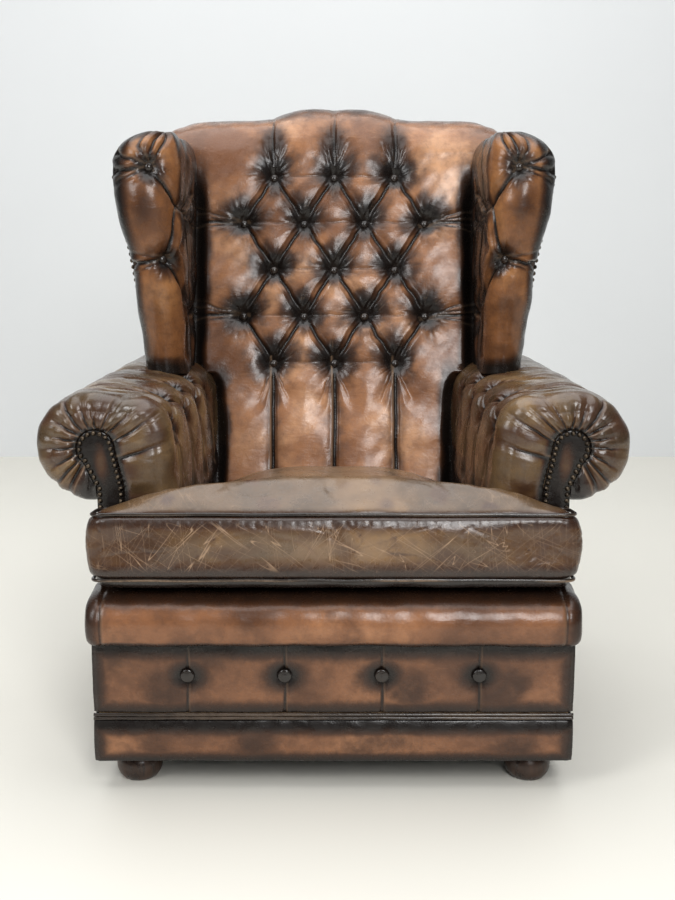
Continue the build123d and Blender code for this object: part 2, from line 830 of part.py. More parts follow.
def back_section(x, top_z):
    """Side view of the back pad at a distance from the middle, with its rolled top."""
    pad_rear = [post_front_y(z) - spring_room for z in (back_bottom, roll_under_z)]
    front_bottom = (back_face_y(back_bottom), back_bottom)
    front_top = (back_face_y(roll_front_z), roll_front_z)
    under = (outside_back_y(roll_under_z) - pad_clearance, roll_under_z)
    top = (front_top[0] + (rear_y - front_top[0]) * roll_top_share, top_z)
    rear = (rear_y - crest_rear_margin, roll_centre_z)
    lean = math.sqrt(0.5)
    over = (top[0] - (top[0] - front_top[0]) * lean, front_top[1] + (top[1] - front_top[1]) * lean)
    behind = (top[0] + (rear[0] - top[0]) * lean, rear[1] + (top[1] - rear[1]) * lean)
    below = (rear[0] - (rear[0] - under[0]) * (1 - lean), rear[1] - (rear[1] - under[1]) * lean)
    with BuildSketch(Plane.YZ.offset(x)) as section:
        with BuildLine():
            Line(front_bottom, front_top)
            ThreePointArc(front_top, over, top)
            ThreePointArc(top, behind, rear)
            ThreePointArc(rear, below, under)
            Line(under, (pad_rear[1], roll_under_z))
            Line((pad_rear[1], roll_under_z), (pad_rear[0], back_bottom))
            Line((pad_rear[0], back_bottom), front_bottom)
        make_face()
    return section.sketch


# Room inside the crest roll for the posts and the crest rail
with BuildPart() as frame_room:
    with BuildSketch(Plane.YZ):
        Polygon(
            (post_front_y(roll_under_z) - spring_room, roll_under_z - leather),
            (outside_back_y(roll_under_z) + pad_clearance, roll_under_z - leather),
            (post_front_y(crest_rail_top) + post_depth + pad_clearance, crest_rail_top + pad_clearance),
            (post_front_y(crest_rail_top) - spring_room, crest_rail_top + pad_clearance),
            align=None,
        )
    extrude(amount=post_outer_x + pad_clearance, both=True)

button_rows = back_buttons_places()

# The back pad before it is buttoned
with BuildPart() as back_blank:
    stations = [-share for share in reversed(crest_width_shares[1:])] + list(crest_width_shares)
    loft([back_section(share * back_outer_half_width, crest_z(abs(share))) for share in stations])
    for side in (-1, 1):
        with BuildSketch(Plane.XZ.offset(-rear_y - cut_overrun)) as beside:
            Polygon(
                (side * back_half_width, 0),
                (side * (back_outer_half_width + cut_overrun), 0),
                (side * (back_outer_half_width + cut_overrun), crest_end_z),
                (side * back_half_width, crest_end_z),
                align=None,
            )
        extrude(amount=overall_depth, mode=Mode.SUBTRACT)
    add(arm_room.part, mode=Mode.SUBTRACT)

with BuildPart() as inside_back:
    add(back_blank.part)
    add(frame_room.part, mode=Mode.SUBTRACT)
    normal = back_plane.z_dir
    for low_row, high_row in zip(button_rows, button_rows[1:]):
        for low, high in neighbours(low_row, high_row, button_column_pitch):
            start, end = (back_plane.from_local_coords((x, v, 0)) for x, v in (low, high))
            cut_pleat(start, end, normal)
    for x, v in button_rows[0]:
        start, end = (back_plane.from_local_coords((x, w, 0)) for w in (v, -waist_drop))
        cut_pleat(start, end, normal)
    for x, v in button_rows[-1]:
        start, end = (back_plane.from_local_coords((x, w, 0)) for w in (v, v + crest_pleat_length))
        cut_pleat(start, end, normal)
    for row in (button_rows[1], button_rows[3]):
        for x, v in (row[0], row[-1]):
            edge_x = math.copysign(back_half_width, x)
            start, end = (back_plane.from_local_coords((u, v, 0)) for u in (x, edge_x))
            cut_pleat(start, end, normal)
    for row in button_rows:
        for x, v in row:
            cut_dimple(facing_out(back_plane.from_local_coords((x, v, 0)), normal))
write(inside_back, "inside_back")

with BuildPart() as back_buttons:
    for row in button_rows:
        for x, v in row:
            place = back_plane.from_local_coords((x, v, -dimple_depth))
            add_button(facing_out(place, normal), button_diameter, button_height)
write(back_buttons, "back_buttons")


# Wings
def wing_share(z):
    """Share of the wing's height at a height of the chair."""
    return (z - wing_root) / (wing_top - wing_root)


def wing_outer_x(z):
    """Outer half width of the wing's front at a height."""
    return wing_root_half_width + wing_flare * between(wing_flare_shares, wing_height_shares, wing_share(z))


def wing_edge_y(z):
    """Depth of the wing's foremost edge at a height."""
    return wing_front_y - wing_reach * between(wing_reach_shares, wing_height_shares, wing_share(z))


def wing_inner_x(z):
    """Inner half width of the wing at a height."""
    return wing_inner_half_width + wing_draw_in * between(
        wing_draw_in_shares, wing_height_shares, wing_share(z)
    )


def wing_side_x(z, y):
    """Half width of the wing's flat outer side at a height and a depth."""
    front_x, side_front_y = wing_roll_point(z, 0)
    side_rear_y = post_front_y(z) + post_depth
    return front_x + (back_outer_half_width - front_x) * (y - side_front_y) / (side_rear_y - side_front_y)


def wing_roll_point(z, angle):
    """Point on the rolled front of the right wing, from 0 outside to 180 inside."""
    middle_x = (wing_outer_x(z) + wing_inner_x(z)) / 2
    half = (wing_outer_x(z) - wing_inner_x(z)) / 2
    turn = math.radians(angle)
    return (middle_x + half * math.cos(turn), wing_edge_y(z) + wing_roll * (1 - math.sin(turn)))


def wing_section(z):
    """Plan of the padded wing at a height."""
    section_rear_y = post_front_y(z) - pad_clearance
    inner_rear = (wing_inner_x(z), section_rear_y)
    outer_rear = (wing_side_x(z, section_rear_y), section_rear_y)
    with BuildSketch(Plane.XY.offset(z)) as section:
        with BuildLine():
            ThreePointArc(wing_roll_point(z, 0), wing_roll_point(z, 45), wing_roll_point(z, 90))
            ThreePointArc(wing_roll_point(z, 90), wing_roll_point(z, 135), wing_roll_point(z, 180))
            Line(wing_roll_point(z, 180), inner_rear)
            Line(inner_rear, outer_rear)
            Line(outer_rear, wing_roll_point(z, 0))
        make_face()
    return section.sketch


def wing_slab(levels, front_gap, rear_gap, outer_inset, thickness, mode=Mode.ADD):
    """Loft an upright board along the wing's outer side, from behind its rolled front."""
    sections = []
    for z in levels:
        start_y = wing_roll_point(z, 0)[1] + front_gap
        end_y = post_front_y(z) - rear_gap
        start_x = wing_side_x(z, start_y) - outer_inset
        end_x = wing_side_x(z, end_y) - outer_inset
        with BuildSketch(Plane.XY.offset(z)) as section:
            Polygon(
                (start_x, start_y),
                (end_x, end_y),
                (end_x - thickness, end_y),
                (start_x - thickness, start_y),
                align=None,
            )
        sections.append(section.sketch)
    loft(sections, ruled=True, mode=mode)


wing_levels = [wing_root + share * (wing_top - wing_root) for share in wing_height_shares]


def wing_levels_between(low, high):
    """A low and a high level, with the wing's own levels that lie between them."""
    return [low] + [z for z in wing_levels if low < z < high] + [high]


frame_levels = wing_levels_between(wing_frame_root, wing_frame_top)
frame_room_levels = wing_levels_between(wing_frame_root - cut_overrun, wing_frame_top + pad_clearance)
panel_levels = wing_levels_between(wing_root, wing_panel_top)
panel_room_levels = wing_levels_between(wing_root, wing_panel_top + pad_clearance)
panel_rear_gap = -(post_depth - pad_clearance)

with BuildPart() as right_wing_frame:
    wing_slab(frame_levels, -wing_frame_lap, 0, panel_thickness, wing_frame_thickness)
write_pair(right_wing_frame, "wing_frame")

with BuildPart() as right_outside_wing:
    wing_slab(panel_levels, pad_clearance, panel_rear_gap, 0, panel_thickness - pad_clearance)
    add(arm_room.part, mode=Mode.SUBTRACT)
write_pair(right_outside_wing, "outside_wing")

# Inside wing: padding with a rolled front, buttoned in two staggered rows
front_tufts = [wing_roll_point(z, angle) + (z,) for z, angle in zip(front_tuft_levels, front_tuft_angles)]
inner_tufts = [(wing_inner_x(z), inner_tuft_y, z) for z in inner_tuft_levels]
front_tuft_normal = Vector(
    -math.cos(math.radians(front_tuft_turn)), -math.sin(math.radians(front_tuft_turn)), 0
)
inner_tuft_normal = Vector(-1, 0, 0)

with BuildPart() as right_inside_wing:
    loft([wing_section(z) for z in wing_levels], ruled=True)
    for place, z in zip(front_tufts, front_tuft_levels):
        cut_pleat(place, wing_roll_point(z, wing_pleat_end_angle) + (z,), front_tuft_normal)
    for front_place in front_tufts:
        for inner_place in inner_tufts:
            if abs(front_place[2] - inner_place[2]) < wing_tuft_reach:
                cut_pleat(front_place, inner_place, inner_tuft_normal)
    for x, y, z in inner_tufts:
        cut_pleat((x, y, z), (x, back_face_y(z), z), inner_tuft_normal)
    for place in front_tufts:
        cut_dimple(facing_out(place, front_tuft_normal))
    for place in inner_tufts:
        cut_dimple(facing_out(place, inner_tuft_normal))
    wing_slab(
        frame_room_levels,
        -wing_frame_lap - pad_clearance,
        -pad_clearance,
        panel_thickness - pad_clearance,
        wing_frame_thickness + 2 * pad_clearance,
        Mode.SUBTRACT,
    )
    wing_slab(
        panel_room_levels,
        0,
        panel_rear_gap,
        -cut_overrun,
        panel_thickness + cut_overrun,
        Mode.SUBTRACT,
    )
    add(arm_room.part, mode=Mode.SUBTRACT)
    for shift in (-pad_clearance, spring_room):
        with Locations((0, shift, 0)):
            add(back_blank.part, mode=Mode.SUBTRACT)
write_pair(right_inside_wing, "inside_wing")

with BuildPart() as wing_buttons:
    for place in front_tufts:
        add_button(facing_out(place, front_tuft_normal).offset(-dimple_depth), button_diameter, button_height)
    for place in inner_tufts:
        add_button(facing_out(place, inner_tuft_normal).offset(-dimple_depth), button_diameter, button_height)
    mirror(about=Plane.YZ)
write(wing_buttons, "wing_buttons")


def wing_side_point(z, behind):
    """Point on the outside wing's face, a distance behind its front edge."""
    y = wing_roll_point(z, 0)[1] + behind
    return (wing_side_x(z, y), y, z)


nail_levels = [z for z in panel_levels if z > wing_frame_root]
nail_spots = []
for low, high in zip(nail_levels, nail_levels[1:]):
    nail_spots += spaced(wing_side_point(low, nail_inset), wing_side_point(high, nail_inset), wing_nail_pitch)
top_nail_z = wing_panel_top - nail_inset
top_length = outside_back_y(top_nail_z) - wing_roll_point(top_nail_z, 0)[1] - 2 * nail_inset
nail_spots += spaced(
    wing_side_point(top_nail_z, nail_inset), wing_side_point(top_nail_z, top_length), wing_nail_pitch
)

with BuildPart() as wing_nails:
    with Locations(*[Plane(spot, x_dir=(0, 1, 0), z_dir=(1, 0, 0)).location for spot in nail_spots]):
        Sphere(nail_diameter / 2, arc_size1=0, align=(Align.CENTER, Align.CENTER, Align.MIN))
    add(right_outside_wing.part, mode=Mode.SUBTRACT)
    mirror(about=Plane.YZ)
write(wing_nails, "wing_nails")

# Outside back: a covered panel between the sides, nailed round its edge
outside_top = up_outside(roll_under_z) - leather
with BuildPart() as outside_back:
    with BuildSketch(outside_plane):
        bottom_half_width = side_half_width - toe_in(base_rear_y)
        Polygon(
            (-bottom_half_width, 0),
            (bottom_half_width, 0),
            (back_outer_half_width, outside_top),
            (-back_outer_half_width, outside_top),
            align=None,
        )
    extrude(amount=panel_thickness - pad_clearance)
write(outside_back, "outside_back")

nail_x = back_outer_half_width - nail_inset
back_nail_spots = (
    spaced((-nail_x, nail_inset), (-nail_x, outside_top - nail_inset), wing_nail_pitch)
    + spaced((-nail_x, outside_top - nail_inset), (nail_x, outside_top - nail_inset), wing_nail_pitch)
    + spaced((nail_x, outside_top - nail_inset), (nail_x, nail_inset), wing_nail_pitch)
)
with BuildPart() as back_nails:
    for x, v in back_nail_spots:
        spot = outside_plane.from_local_coords((x, v, 0))
        with Locations(Plane(spot, x_dir=(1, 0, 0), z_dir=-outside_plane.z_dir).location):
            Sphere(nail_diameter / 2, arc_size1=0, align=(Align.CENTER, Align.CENTER, Align.MIN))
write(back_nails, "back_nails")


# Seat springs: zigzag wires held by a clip on the rail at each end
def spring_path(length, pitch):
    """Zigzag from the origin along +Y, with a straight cross run at each end."""
    runs = 2 * round(length / pitch / 2) + 1
    step = length / (runs - 1)
    points = [(-spring_half_width, 0)]
    for run in range(runs):
        reach = spring_half_width if run % 2 == 0 else -spring_half_width
        points.append((reach, run * step))
        if run < runs - 1:
            points.append((reach, (run + 1) * step))
    return points


def add_springs(plane, length, count, spacing):
    """Add a row of equal zigzag springs side by side on a plane."""
    points = spring_path(length, spring_loop_pitch)
    with BuildPart(mode=Mode.PRIVATE) as spring:
        with BuildLine(plane) as wire:
            FilletPolyline(*points, radius=spring_bend_radius)
        start = plane.from_local_coords((points[0][0], points[0][1], 0))
        with BuildSketch(Plane(start, x_dir=plane.y_dir, z_dir=plane.x_dir)) as end:
            Circle(spring_wire / 2)
        sweep(end.sketch, path=wire.wires()[0])
    for k in range(count):
        with Locations(plane.x_dir * ((k - (count - 1) / 2) * spacing)):
            add(spring.part)


def add_clips(plane, count, spacing):
    """Add a row of folded clips, each standing on a rail round a spring's end run."""
    room = spring_wire / 2 + pad_clearance
    for k in range(count):
        middle = (k - (count - 1) / 2) * spacing - clip_length / 2
        side = Plane(plane.from_local_coords((middle, 0, 0)), x_dir=plane.y_dir, z_dir=plane.x_dir)
        with BuildSketch(side) as strip:
            RectangleRounded(2 * (room + clip_thickness), 2 * (room + clip_thickness), room)
            Rectangle(2 * room, 2 * room, mode=Mode.SUBTRACT)
        extrude(strip.sketch, amount=clip_length)


spring_drop = deck_thickness + hessian_thickness + 2 * pad_clearance + spring_wire / 2
seat_spring_start = (front_clip_y - front_y) / slope_cos
seat_spring_end = (rear_clip_y - front_y) / slope_cos
seat_spring_plane = Plane(
    deck_plane.from_local_coords((0, seat_spring_start, -spring_drop)),
    x_dir=(1, 0, 0),
    z_dir=deck_plane.z_dir,
)
seat_spring_rear = Plane(
    deck_plane.from_local_coords((0, seat_spring_end, -spring_drop)), x_dir=(1, 0, 0), z_dir=deck_plane.z_dir
)
back_spring_depth = (panel_thickness + post_depth) * outside_cos + clip_rise
back_low = up_outside(lower_back_rail_bottom + lower_back_rail_height / 2)
back_high = up_outside(post_top + crest_rail_height / 2)
back_spring_plane = Plane(
    outside_plane.from_local_coords((0, back_low, back_spring_depth)),
    x_dir=(1, 0, 0),
    z_dir=outside_plane.z_dir,
)
back_spring_top = Plane(
    outside_plane.from_local_coords((0, back_high, back_spring_depth)),
    x_dir=(1, 0, 0),
    z_dir=outside_plane.z_dir,
)

with BuildPart() as seat_springs:
    add_springs(
        seat_spring_plane, seat_spring_end - seat_spring_start, seat_spring_count, seat_spring_spacing
    )
write(seat_springs, "seat_springs")

with BuildPart() as back_springs:
    add_springs(back_spring_plane, back_high - back_low, back_spring_count, back_spring_spacing)
write(back_springs, "back_springs")

with BuildPart() as spring_clips:
    add_clips(seat_spring_plane, seat_spring_count, seat_spring_spacing)
    add_clips(seat_spring_rear, seat_spring_count, seat_spring_spacing)
    add_clips(back_spring_plane, back_spring_count, back_spring_spacing)
    add_clips(back_spring_top, back_spring_count, back_spring_spacing)
write(spring_clips, "spring_clips")


# Hessian over the springs
def between_arms(front_depth, rear_depth, margin):
    """Plan of a layer between the arms, drawn on the deck's plane."""
    corners = []
    for y, side in ((front_depth, -1), (front_depth, 1), (rear_depth, 1), (rear_depth, -1)):
        half_width = seat_half_width - toe_in(y) - margin
        corners.append((side * half_width, (y - front_y) / slope_cos))
    with BuildSketch(deck_plane) as plan:
        Polygon(*corners, align=None)
    return plan.sketch


hessian_front_y = front_rail_y + rail_thickness + pad_clearance
hessian_rear_y = rear_rail_y - pad_clearance
with BuildPart() as seat_hessian:
    layer = between_arms(hessian_front_y, hessian_rear_y, pad_clearance)
    extrude(layer, amount=-deck_thickness - hessian_thickness - pad_clearance)
    extrude(layer, amount=-deck_thickness - pad_clearance, mode=Mode.SUBTRACT)
write(seat_hessian, "seat_hessian")

back_hessian_low = lower_back_rail_bottom + lower_back_rail_height
with BuildPart() as back_hessian:
    with BuildSketch(outside_plane.offset(back_spring_depth + spring_wire / 2 + pad_clearance)):
        with Locations((0, up_outside(back_hessian_low))):
            Rectangle(
                2 * post_inner_x,
                up_outside(post_top) - up_outside(back_hessian_low),
                align=(Align.CENTER, Align.MIN),
            )
    extrude(amount=hessian_thickness)
    add(arm_room.part, mode=Mode.SUBTRACT)
write(back_hessian, "back_hessian")

# Seat deck: the padded platform that the loose cushion lies on
lip_rear_y = arm_front_y - lip_rear_gap
with BuildPart() as seat_deck:
    deck_front_y = lip_rear_y + pad_clearance + deck_thickness * slope_sin
    extrude(between_arms(deck_front_y, hessian_rear_y, pad_clearance), amount=-deck_thickness)
write(seat_deck, "seat_deck")

# Front lip: a padded roll across the whole front, under the cushion's front edge
def lip_section(x, inset):
    """Side view of the lip at a distance from the middle, drawn in near its ends."""
    roll_y = front_y + lip_roll + inset
    low, high = lip_bottom + inset / 2, deck_z(roll_y) - inset / 2
    rear_top = deck_z(lip_rear_y) - inset / 2
    with BuildSketch(Plane.YZ.offset(x)) as section:
        with BuildLine():
            Line((lip_rear_y, low), (roll_y, low))
            ThreePointArc((roll_y, low), (front_y + inset, (low + high) / 2), (roll_y, high))
            Line((roll_y, high), (lip_rear_y, rear_top))
            Line((lip_rear_y, rear_top), (lip_rear_y, low))
        make_face()
    return section.sketch


with BuildPart() as front_lip:
    round_x = lip_half_width - lip_corner_radius
    loft([lip_section(-round_x, 0), lip_section(round_x, 0)])
    for side in (-1, 1):
        steps = []
        for turn in (0, math.pi / 4, math.pi / 2):
            drawn, out = lip_corner_radius * (1 - math.cos(turn)), lip_corner_radius * math.sin(turn)
            steps.append(lip_section(side * (round_x + out), drawn))
        loft(steps, ruled=True)
    with Locations((0, front_rail_y - pad_clearance, lip_bottom)):
        Box(
            2 * rail_outer_x + 2 * pad_clearance,
            overall_depth,
            lip_pocket_height,
            align=(Align.CENTER, Align.MIN, Align.MIN),
            mode=Mode.SUBTRACT,
        )
write(front_lip, "front_lip")

# Front apron with its covered buttons and the seams above and below them
apron_bottom = band_top + 2 * cord_diameter + 3 * pad_clearance
apron_button_z = (apron_bottom + lip_bottom) / 2
apron_button_xs = [(k - (apron_button_count - 1) / 2) * apron_button_pitch for k in range(apron_button_count)]
apron_normal = Vector(0, -1, 0)
with BuildPart() as front_apron:
    with Locations((0, base_front_y, apron_bottom)):
        Box(
            2 * apron_half_width,
            apron_thickness - pad_clearance,
            lip_bottom - pad_clearance - apron_bottom,
            align=(Align.CENTER, Align.MIN, Align.MIN),
        )
    fillet(edges().filter_by(Axis.Z).group_by(Axis.Y)[0], cord_diameter)
    for x in apron_button_xs:
        cut_pleat(
            (x, base_front_y, apron_bottom),
            (x, base_front_y, lip_bottom),
            apron_normal,
            apron_seam_width,
            apron_seam_depth,
        )
        cut_dimple(
            facing_out((x, base_front_y, apron_button_z), apron_normal),
            apron_dimple_diameter,
            apron_dimple_floor,
            apron_dimple_depth,
        )
write(front_apron, "front_apron")

with BuildPart() as apron_buttons:
    for x in apron_button_xs:
        place = (x, base_front_y + apron_dimple_depth, apron_button_z)
        add_button(facing_out(place, apron_normal), apron_button_diameter, apron_button_height)
write(apron_buttons, "apron_buttons")

# Base band with two cords between it and the apron
with BuildPart() as base_band:
    with BuildSketch(Plane.YZ.offset(-apron_half_width)):
        with BuildLine():
            Line((front_rail_y - pad_clearance, base_bottom), (base_front_y, base_bottom))
            ThreePointArc(
                (base_front_y, base_bottom),
                (base_front_y - band_bulge, (base_bottom + band_top) / 2),
                (base_front_y, band_top),
            )
            Line((base_front_y, band_top), (front_rail_y - pad_clearance, band_top))
            Line((front_rail_y - pad_clearance, band_top), (front_rail_y - pad_clearance, base_bottom))
        make_face()
    extrude(amount=2 * apron_half_width)
write(base_band, "base_band")

with BuildPart() as base_cords:
    for k in range(2):
        cord_z = band_top + cord_diameter / 2 + pad_clearance + k * (cord_diameter + pad_clearance)
        with BuildSketch(Plane.YZ.offset(-apron_half_width)):
            with Locations((base_front_y, cord_z)):
                Circle(cord_diameter / 2)
    extrude(amount=2 * apron_half_width)
write(base_cords, "base_cords")


# Loose seat cushion, T-shaped, with its ears in front of the arms and its rear sat down
def cushion_plane(level):
    """Plane across the cushion at a height over the deck's front edge, lower at the rear."""
    return deck_plane.offset(level).rotated((-cushion_sag_angle * level / cushion_thickness, 0, 0))


def cushion_outline(level, inset, narrowing):
    """Plan of the cushion at a height over the deck, drawn in from its widest."""
    front = cushion_front_inset + inset + narrowing * cushion_front_narrowing
    ear_rear = cushion_ear_depth - inset
    rear = cushion_length - inset - narrowing * cushion_rear_narrowing
    ear_x = cushion_ear_half_width - inset - narrowing * cushion_ear_narrowing
    body_x = seat_half_width - cushion_side_gap - inset - narrowing * cushion_body_narrowing
    rear_x = body_x - toe_in(front_y + rear)
    radius = cushion_corner_radius * (1 - narrowing * corner_loss)
    with BuildSketch(cushion_plane(level)) as plan:
        Polygon(
            (-ear_x, front),
            (ear_x, front),
            (ear_x, ear_rear),
            (body_x, ear_rear),
            (rear_x, rear),
            (-rear_x, rear),
            (-body_x, ear_rear),
            (-ear_x, ear_rear),
            align=None,
        )
        fillet(vertices(), radius)
    return plan.sketch


def cushion_piping_path(level):
    """Closed line of a piped seam round the cushion."""
    return cushion_outline(level, cushion_bulge, 0).faces()[0].outer_wire()


def add_piping(level, diameter):
    """Add the round cord that is sewn into a seam of the cushion."""
    path = cushion_piping_path(level)
    upright = cushion_plane(level).z_dir
    with BuildSketch(Plane(path.position_at(0), x_dir=upright, z_dir=path.tangent_at(0))) as end:
        Circle(diameter / 2)
    sweep(end.sketch, path=path)


cushion_front_inset = -cushion_bulge / 3
cushion_rear_y = back_face_y(deck_z(back_seat_y) + cushion_thickness / 2) - cushion_back_gap
cushion_length = (cushion_rear_y - front_y) / slope_cos - cushion_thickness / 2 * slope_tan
top_seam = cushion_thickness
low_seam = cushion_foot

with BuildPart() as seat_cushion:
    loft([cushion_outline(pad_clearance, cushion_foot_inset, 0), cushion_outline(low_seam, cushion_bulge, 0)])
    loft(
        [
            cushion_outline(low_seam, cushion_bulge, 0),
            cushion_outline((low_seam + top_seam) / 2, 0, 0),
            cushion_outline(top_seam, cushion_bulge, 0),
        ]
    )
    loft(
        [
            cushion_outline(top_seam, cushion_bulge, 0),
            cushion_outline(
                top_seam + cushion_crown * crown_rise_share, cushion_bulge, crown_narrowing_share
            ),
            cushion_outline(top_seam + cushion_crown, cushion_bulge, 1),
        ]
    )
    for level in (low_seam, top_seam):
        with BuildPart(mode=Mode.PRIVATE) as groove:
            add_piping(level, piping_diameter + 2 * pad_clearance)
        add(groove.part, mode=Mode.SUBTRACT)
write(seat_cushion, "seat_cushion")

with BuildPart() as cushion_piping:
    add_piping(low_seam, piping_diameter)
    add_piping(top_seam, piping_diameter)
write(cushion_piping, "cushion_piping")
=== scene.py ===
"""Deep-buttoned leather wing armchair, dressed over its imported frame.

The classes hold their sizes in millimetres, in the frame's own axes: the chair stands at
z = 0 and faces -Y. Meshes are written in metres.
"""

import logging
import math
from dataclasses import dataclass, field
from enum import Enum
from typing import Any

import bpy
import numpy as np
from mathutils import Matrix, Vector


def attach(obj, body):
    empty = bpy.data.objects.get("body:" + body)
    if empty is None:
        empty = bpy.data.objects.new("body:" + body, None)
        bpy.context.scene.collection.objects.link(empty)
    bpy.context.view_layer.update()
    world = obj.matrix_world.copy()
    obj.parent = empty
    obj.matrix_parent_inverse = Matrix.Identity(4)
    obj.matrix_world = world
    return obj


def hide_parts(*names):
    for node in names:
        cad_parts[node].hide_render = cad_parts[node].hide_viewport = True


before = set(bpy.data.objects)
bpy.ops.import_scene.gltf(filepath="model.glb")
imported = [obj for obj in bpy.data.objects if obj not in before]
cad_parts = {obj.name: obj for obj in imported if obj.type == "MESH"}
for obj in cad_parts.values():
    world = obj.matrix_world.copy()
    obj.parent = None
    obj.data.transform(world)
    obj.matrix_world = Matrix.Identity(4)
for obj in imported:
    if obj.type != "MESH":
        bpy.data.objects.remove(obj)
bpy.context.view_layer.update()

LOG = logging.getLogger("armchair")
MM = 0.001
MERGE = 2e-6
TOE_IN = 0.034
ARM_FRONT_Y = -345.0
SIDE_X = 356.5
BACK_Y, BACK_Z = 107.0, 430.0
REAR_Y, FRAME_Z = 290.0, 46.0
REAR_TAN = math.tan(math.radians(8.0))
POST_DEPTH = 50.0
RAKE_TAN = math.tan(math.radians(14.0))
RAKE_COS = math.cos(math.radians(14.0))
SLOPE_COS = math.cos(math.radians(4.0))
SLOPE_SIN = math.sin(math.radians(4.0))
Table = np.ndarray
Colour = tuple[float, float, float]
Place = tuple[float, float, float]
Flat = tuple[float, float]
Socket = bpy.types.NodeSocket
Material = bpy.types.Material
Piece = bpy.types.Object


class Side(Enum):
    """Side of the chair as seen from in front, with its sign on the X axis."""

    LEFT = -1
    RIGHT = 1

    @property
    def label(self) -> str:
        """Word that starts the names of this side's pieces."""
        return self.name.lower()


def back_face_y(z: Table) -> Table:
    """Depth of the buttoned face of the back at a height."""
    return BACK_Y + (z - BACK_Z) * RAKE_TAN


def outside_back_y(z: Table) -> Table:
    """Depth of the outside back at a height."""
    return REAR_Y + (z - FRAME_Z) * REAR_TAN


def post_front_y(z: Table) -> Table:
    """Depth of the front faces of the back posts at a height."""
    return outside_back_y(z) - POST_DEPTH


def toe_in(y: Table) -> Table:
    """How far the sides have closed in at a depth."""
    return TOE_IN * (y - ARM_FRONT_Y)


def rolling(a: Table, b: Table, span: float, seed: int) -> Table:
    """Slow unevenness, about -1 to 1, made of a few seeded waves.

    Args:
        a: First coordinate of each point, in mm.
        b: Second coordinate of each point, in mm.
        span: Usual length of the waves, in mm.
        seed: Seed of the waves' directions, lengths and phases.

    Returns:
        One value for each point.
    """
    chance = np.random.default_rng(seed)
    total = np.zeros(np.broadcast(a, b).shape)
    for _ in range(8):
        turn, phase = chance.uniform(0, 2 * math.pi, 2)
        wave = 2 * math.pi / (span * chance.uniform(0.6, 1.7))
        total += np.sin((a * math.cos(turn) + b * math.sin(turn)) * wave + phase)
    return total / 4.0


def hump(distance: Table, reach: float, power: float = 2.0) -> Table:
    """Bell that is 1 at no distance and fades over the reach."""
    return np.exp(-((np.abs(distance) / reach) ** power))


def ridge(turn: Table, power: float) -> Table:
    """Sharp lines where the sine of a value is zero."""
    return (1.0 - np.abs(np.sin(turn))) ** power


def ease(value: Table, low: float, high: float) -> Table:
    """Smooth step from 0 at the low value to 1 at the high one."""
    share = np.clip((value - low) / (high - low), 0.0, 1.0)
    return share * share * (3.0 - 2.0 * share)


def crowned(edge: Table, rise: float, reach: float, fall: float = 2.0) -> Table:
    """Lift of a stretched panel, which is low at its edge and rises slowly inwards.

    Args:
        edge: Distance from the panel's edge, in mm.
        rise: Height of its middle, in mm.
        reach: Distance over which it rises, in mm.
        fall: How far its very edge is drawn in, in mm.

    Returns:
        The lift, in mm.
    """
    return rise * ease(edge, 0.0, reach) - fall * (1.0 - ease(edge, 0.0, 3.0))


@dataclass(frozen=True)
class Pleat:
    """A folded crease of the leather, in the flat coordinates of its surface."""

    start: Flat
    end: Flat
    depth: float = 9.5
    reach: float = 5.8
    # The crease's darkening is partly stain and partly painted shade, shade sets a wider band of painted
    # shade beside it, and line a pale mark on its ridge that is partly wear and partly painted highlight.
    stain: float = 0.85
    line: float = 0.0
    fades: bool = False
    shade: float = 0.42

    def measure(self, a: Table, b: Table) -> tuple[Table, Table, Table]:
        """Distances of points from the crease.

        Args:
            a: First coordinate of each point.
            b: Second coordinate of each point.

        Returns:
            Share of the way along, distance from the crease, and distance with its side's sign.
        """
        run_a, run_b = self.end[0] - self.start[0], self.end[1] - self.start[1]
        length = math.hypot(run_a, run_b)
        off_a, off_b = a - self.start[0], b - self.start[1]
        share = np.clip((off_a * run_a + off_b * run_b) / length**2, 0.0, 1.0)
        away = np.hypot(off_a - share * run_a, off_b - share * run_b)
        side = (off_a * run_b - off_b * run_a) / length
        return share, away, side


@dataclass
class Layers:
    """What the buttons and pleats have done so far to each point of the leather."""

    pit: Table
    stain: Table
    worn: Table
    extra: Table
    nearest: Table

    def press(self, depth: Table, away: Table) -> None:
        """Keep the deeper pit and the smaller distance from a button or pleat."""
        self.pit = np.maximum(self.pit, depth)
        self.nearest = np.minimum(self.nearest, away)

    def darken(self, amount: Table) -> None:
        """Keep the stronger darkening, which is partly stain and partly painted shade."""
        self.stain = np.maximum(self.stain, amount)

    def lighten(self, amount: Table) -> None:
        """Keep the stronger pale mark, which is partly wear and partly painted highlight."""
        self.worn = np.maximum(self.worn, amount)


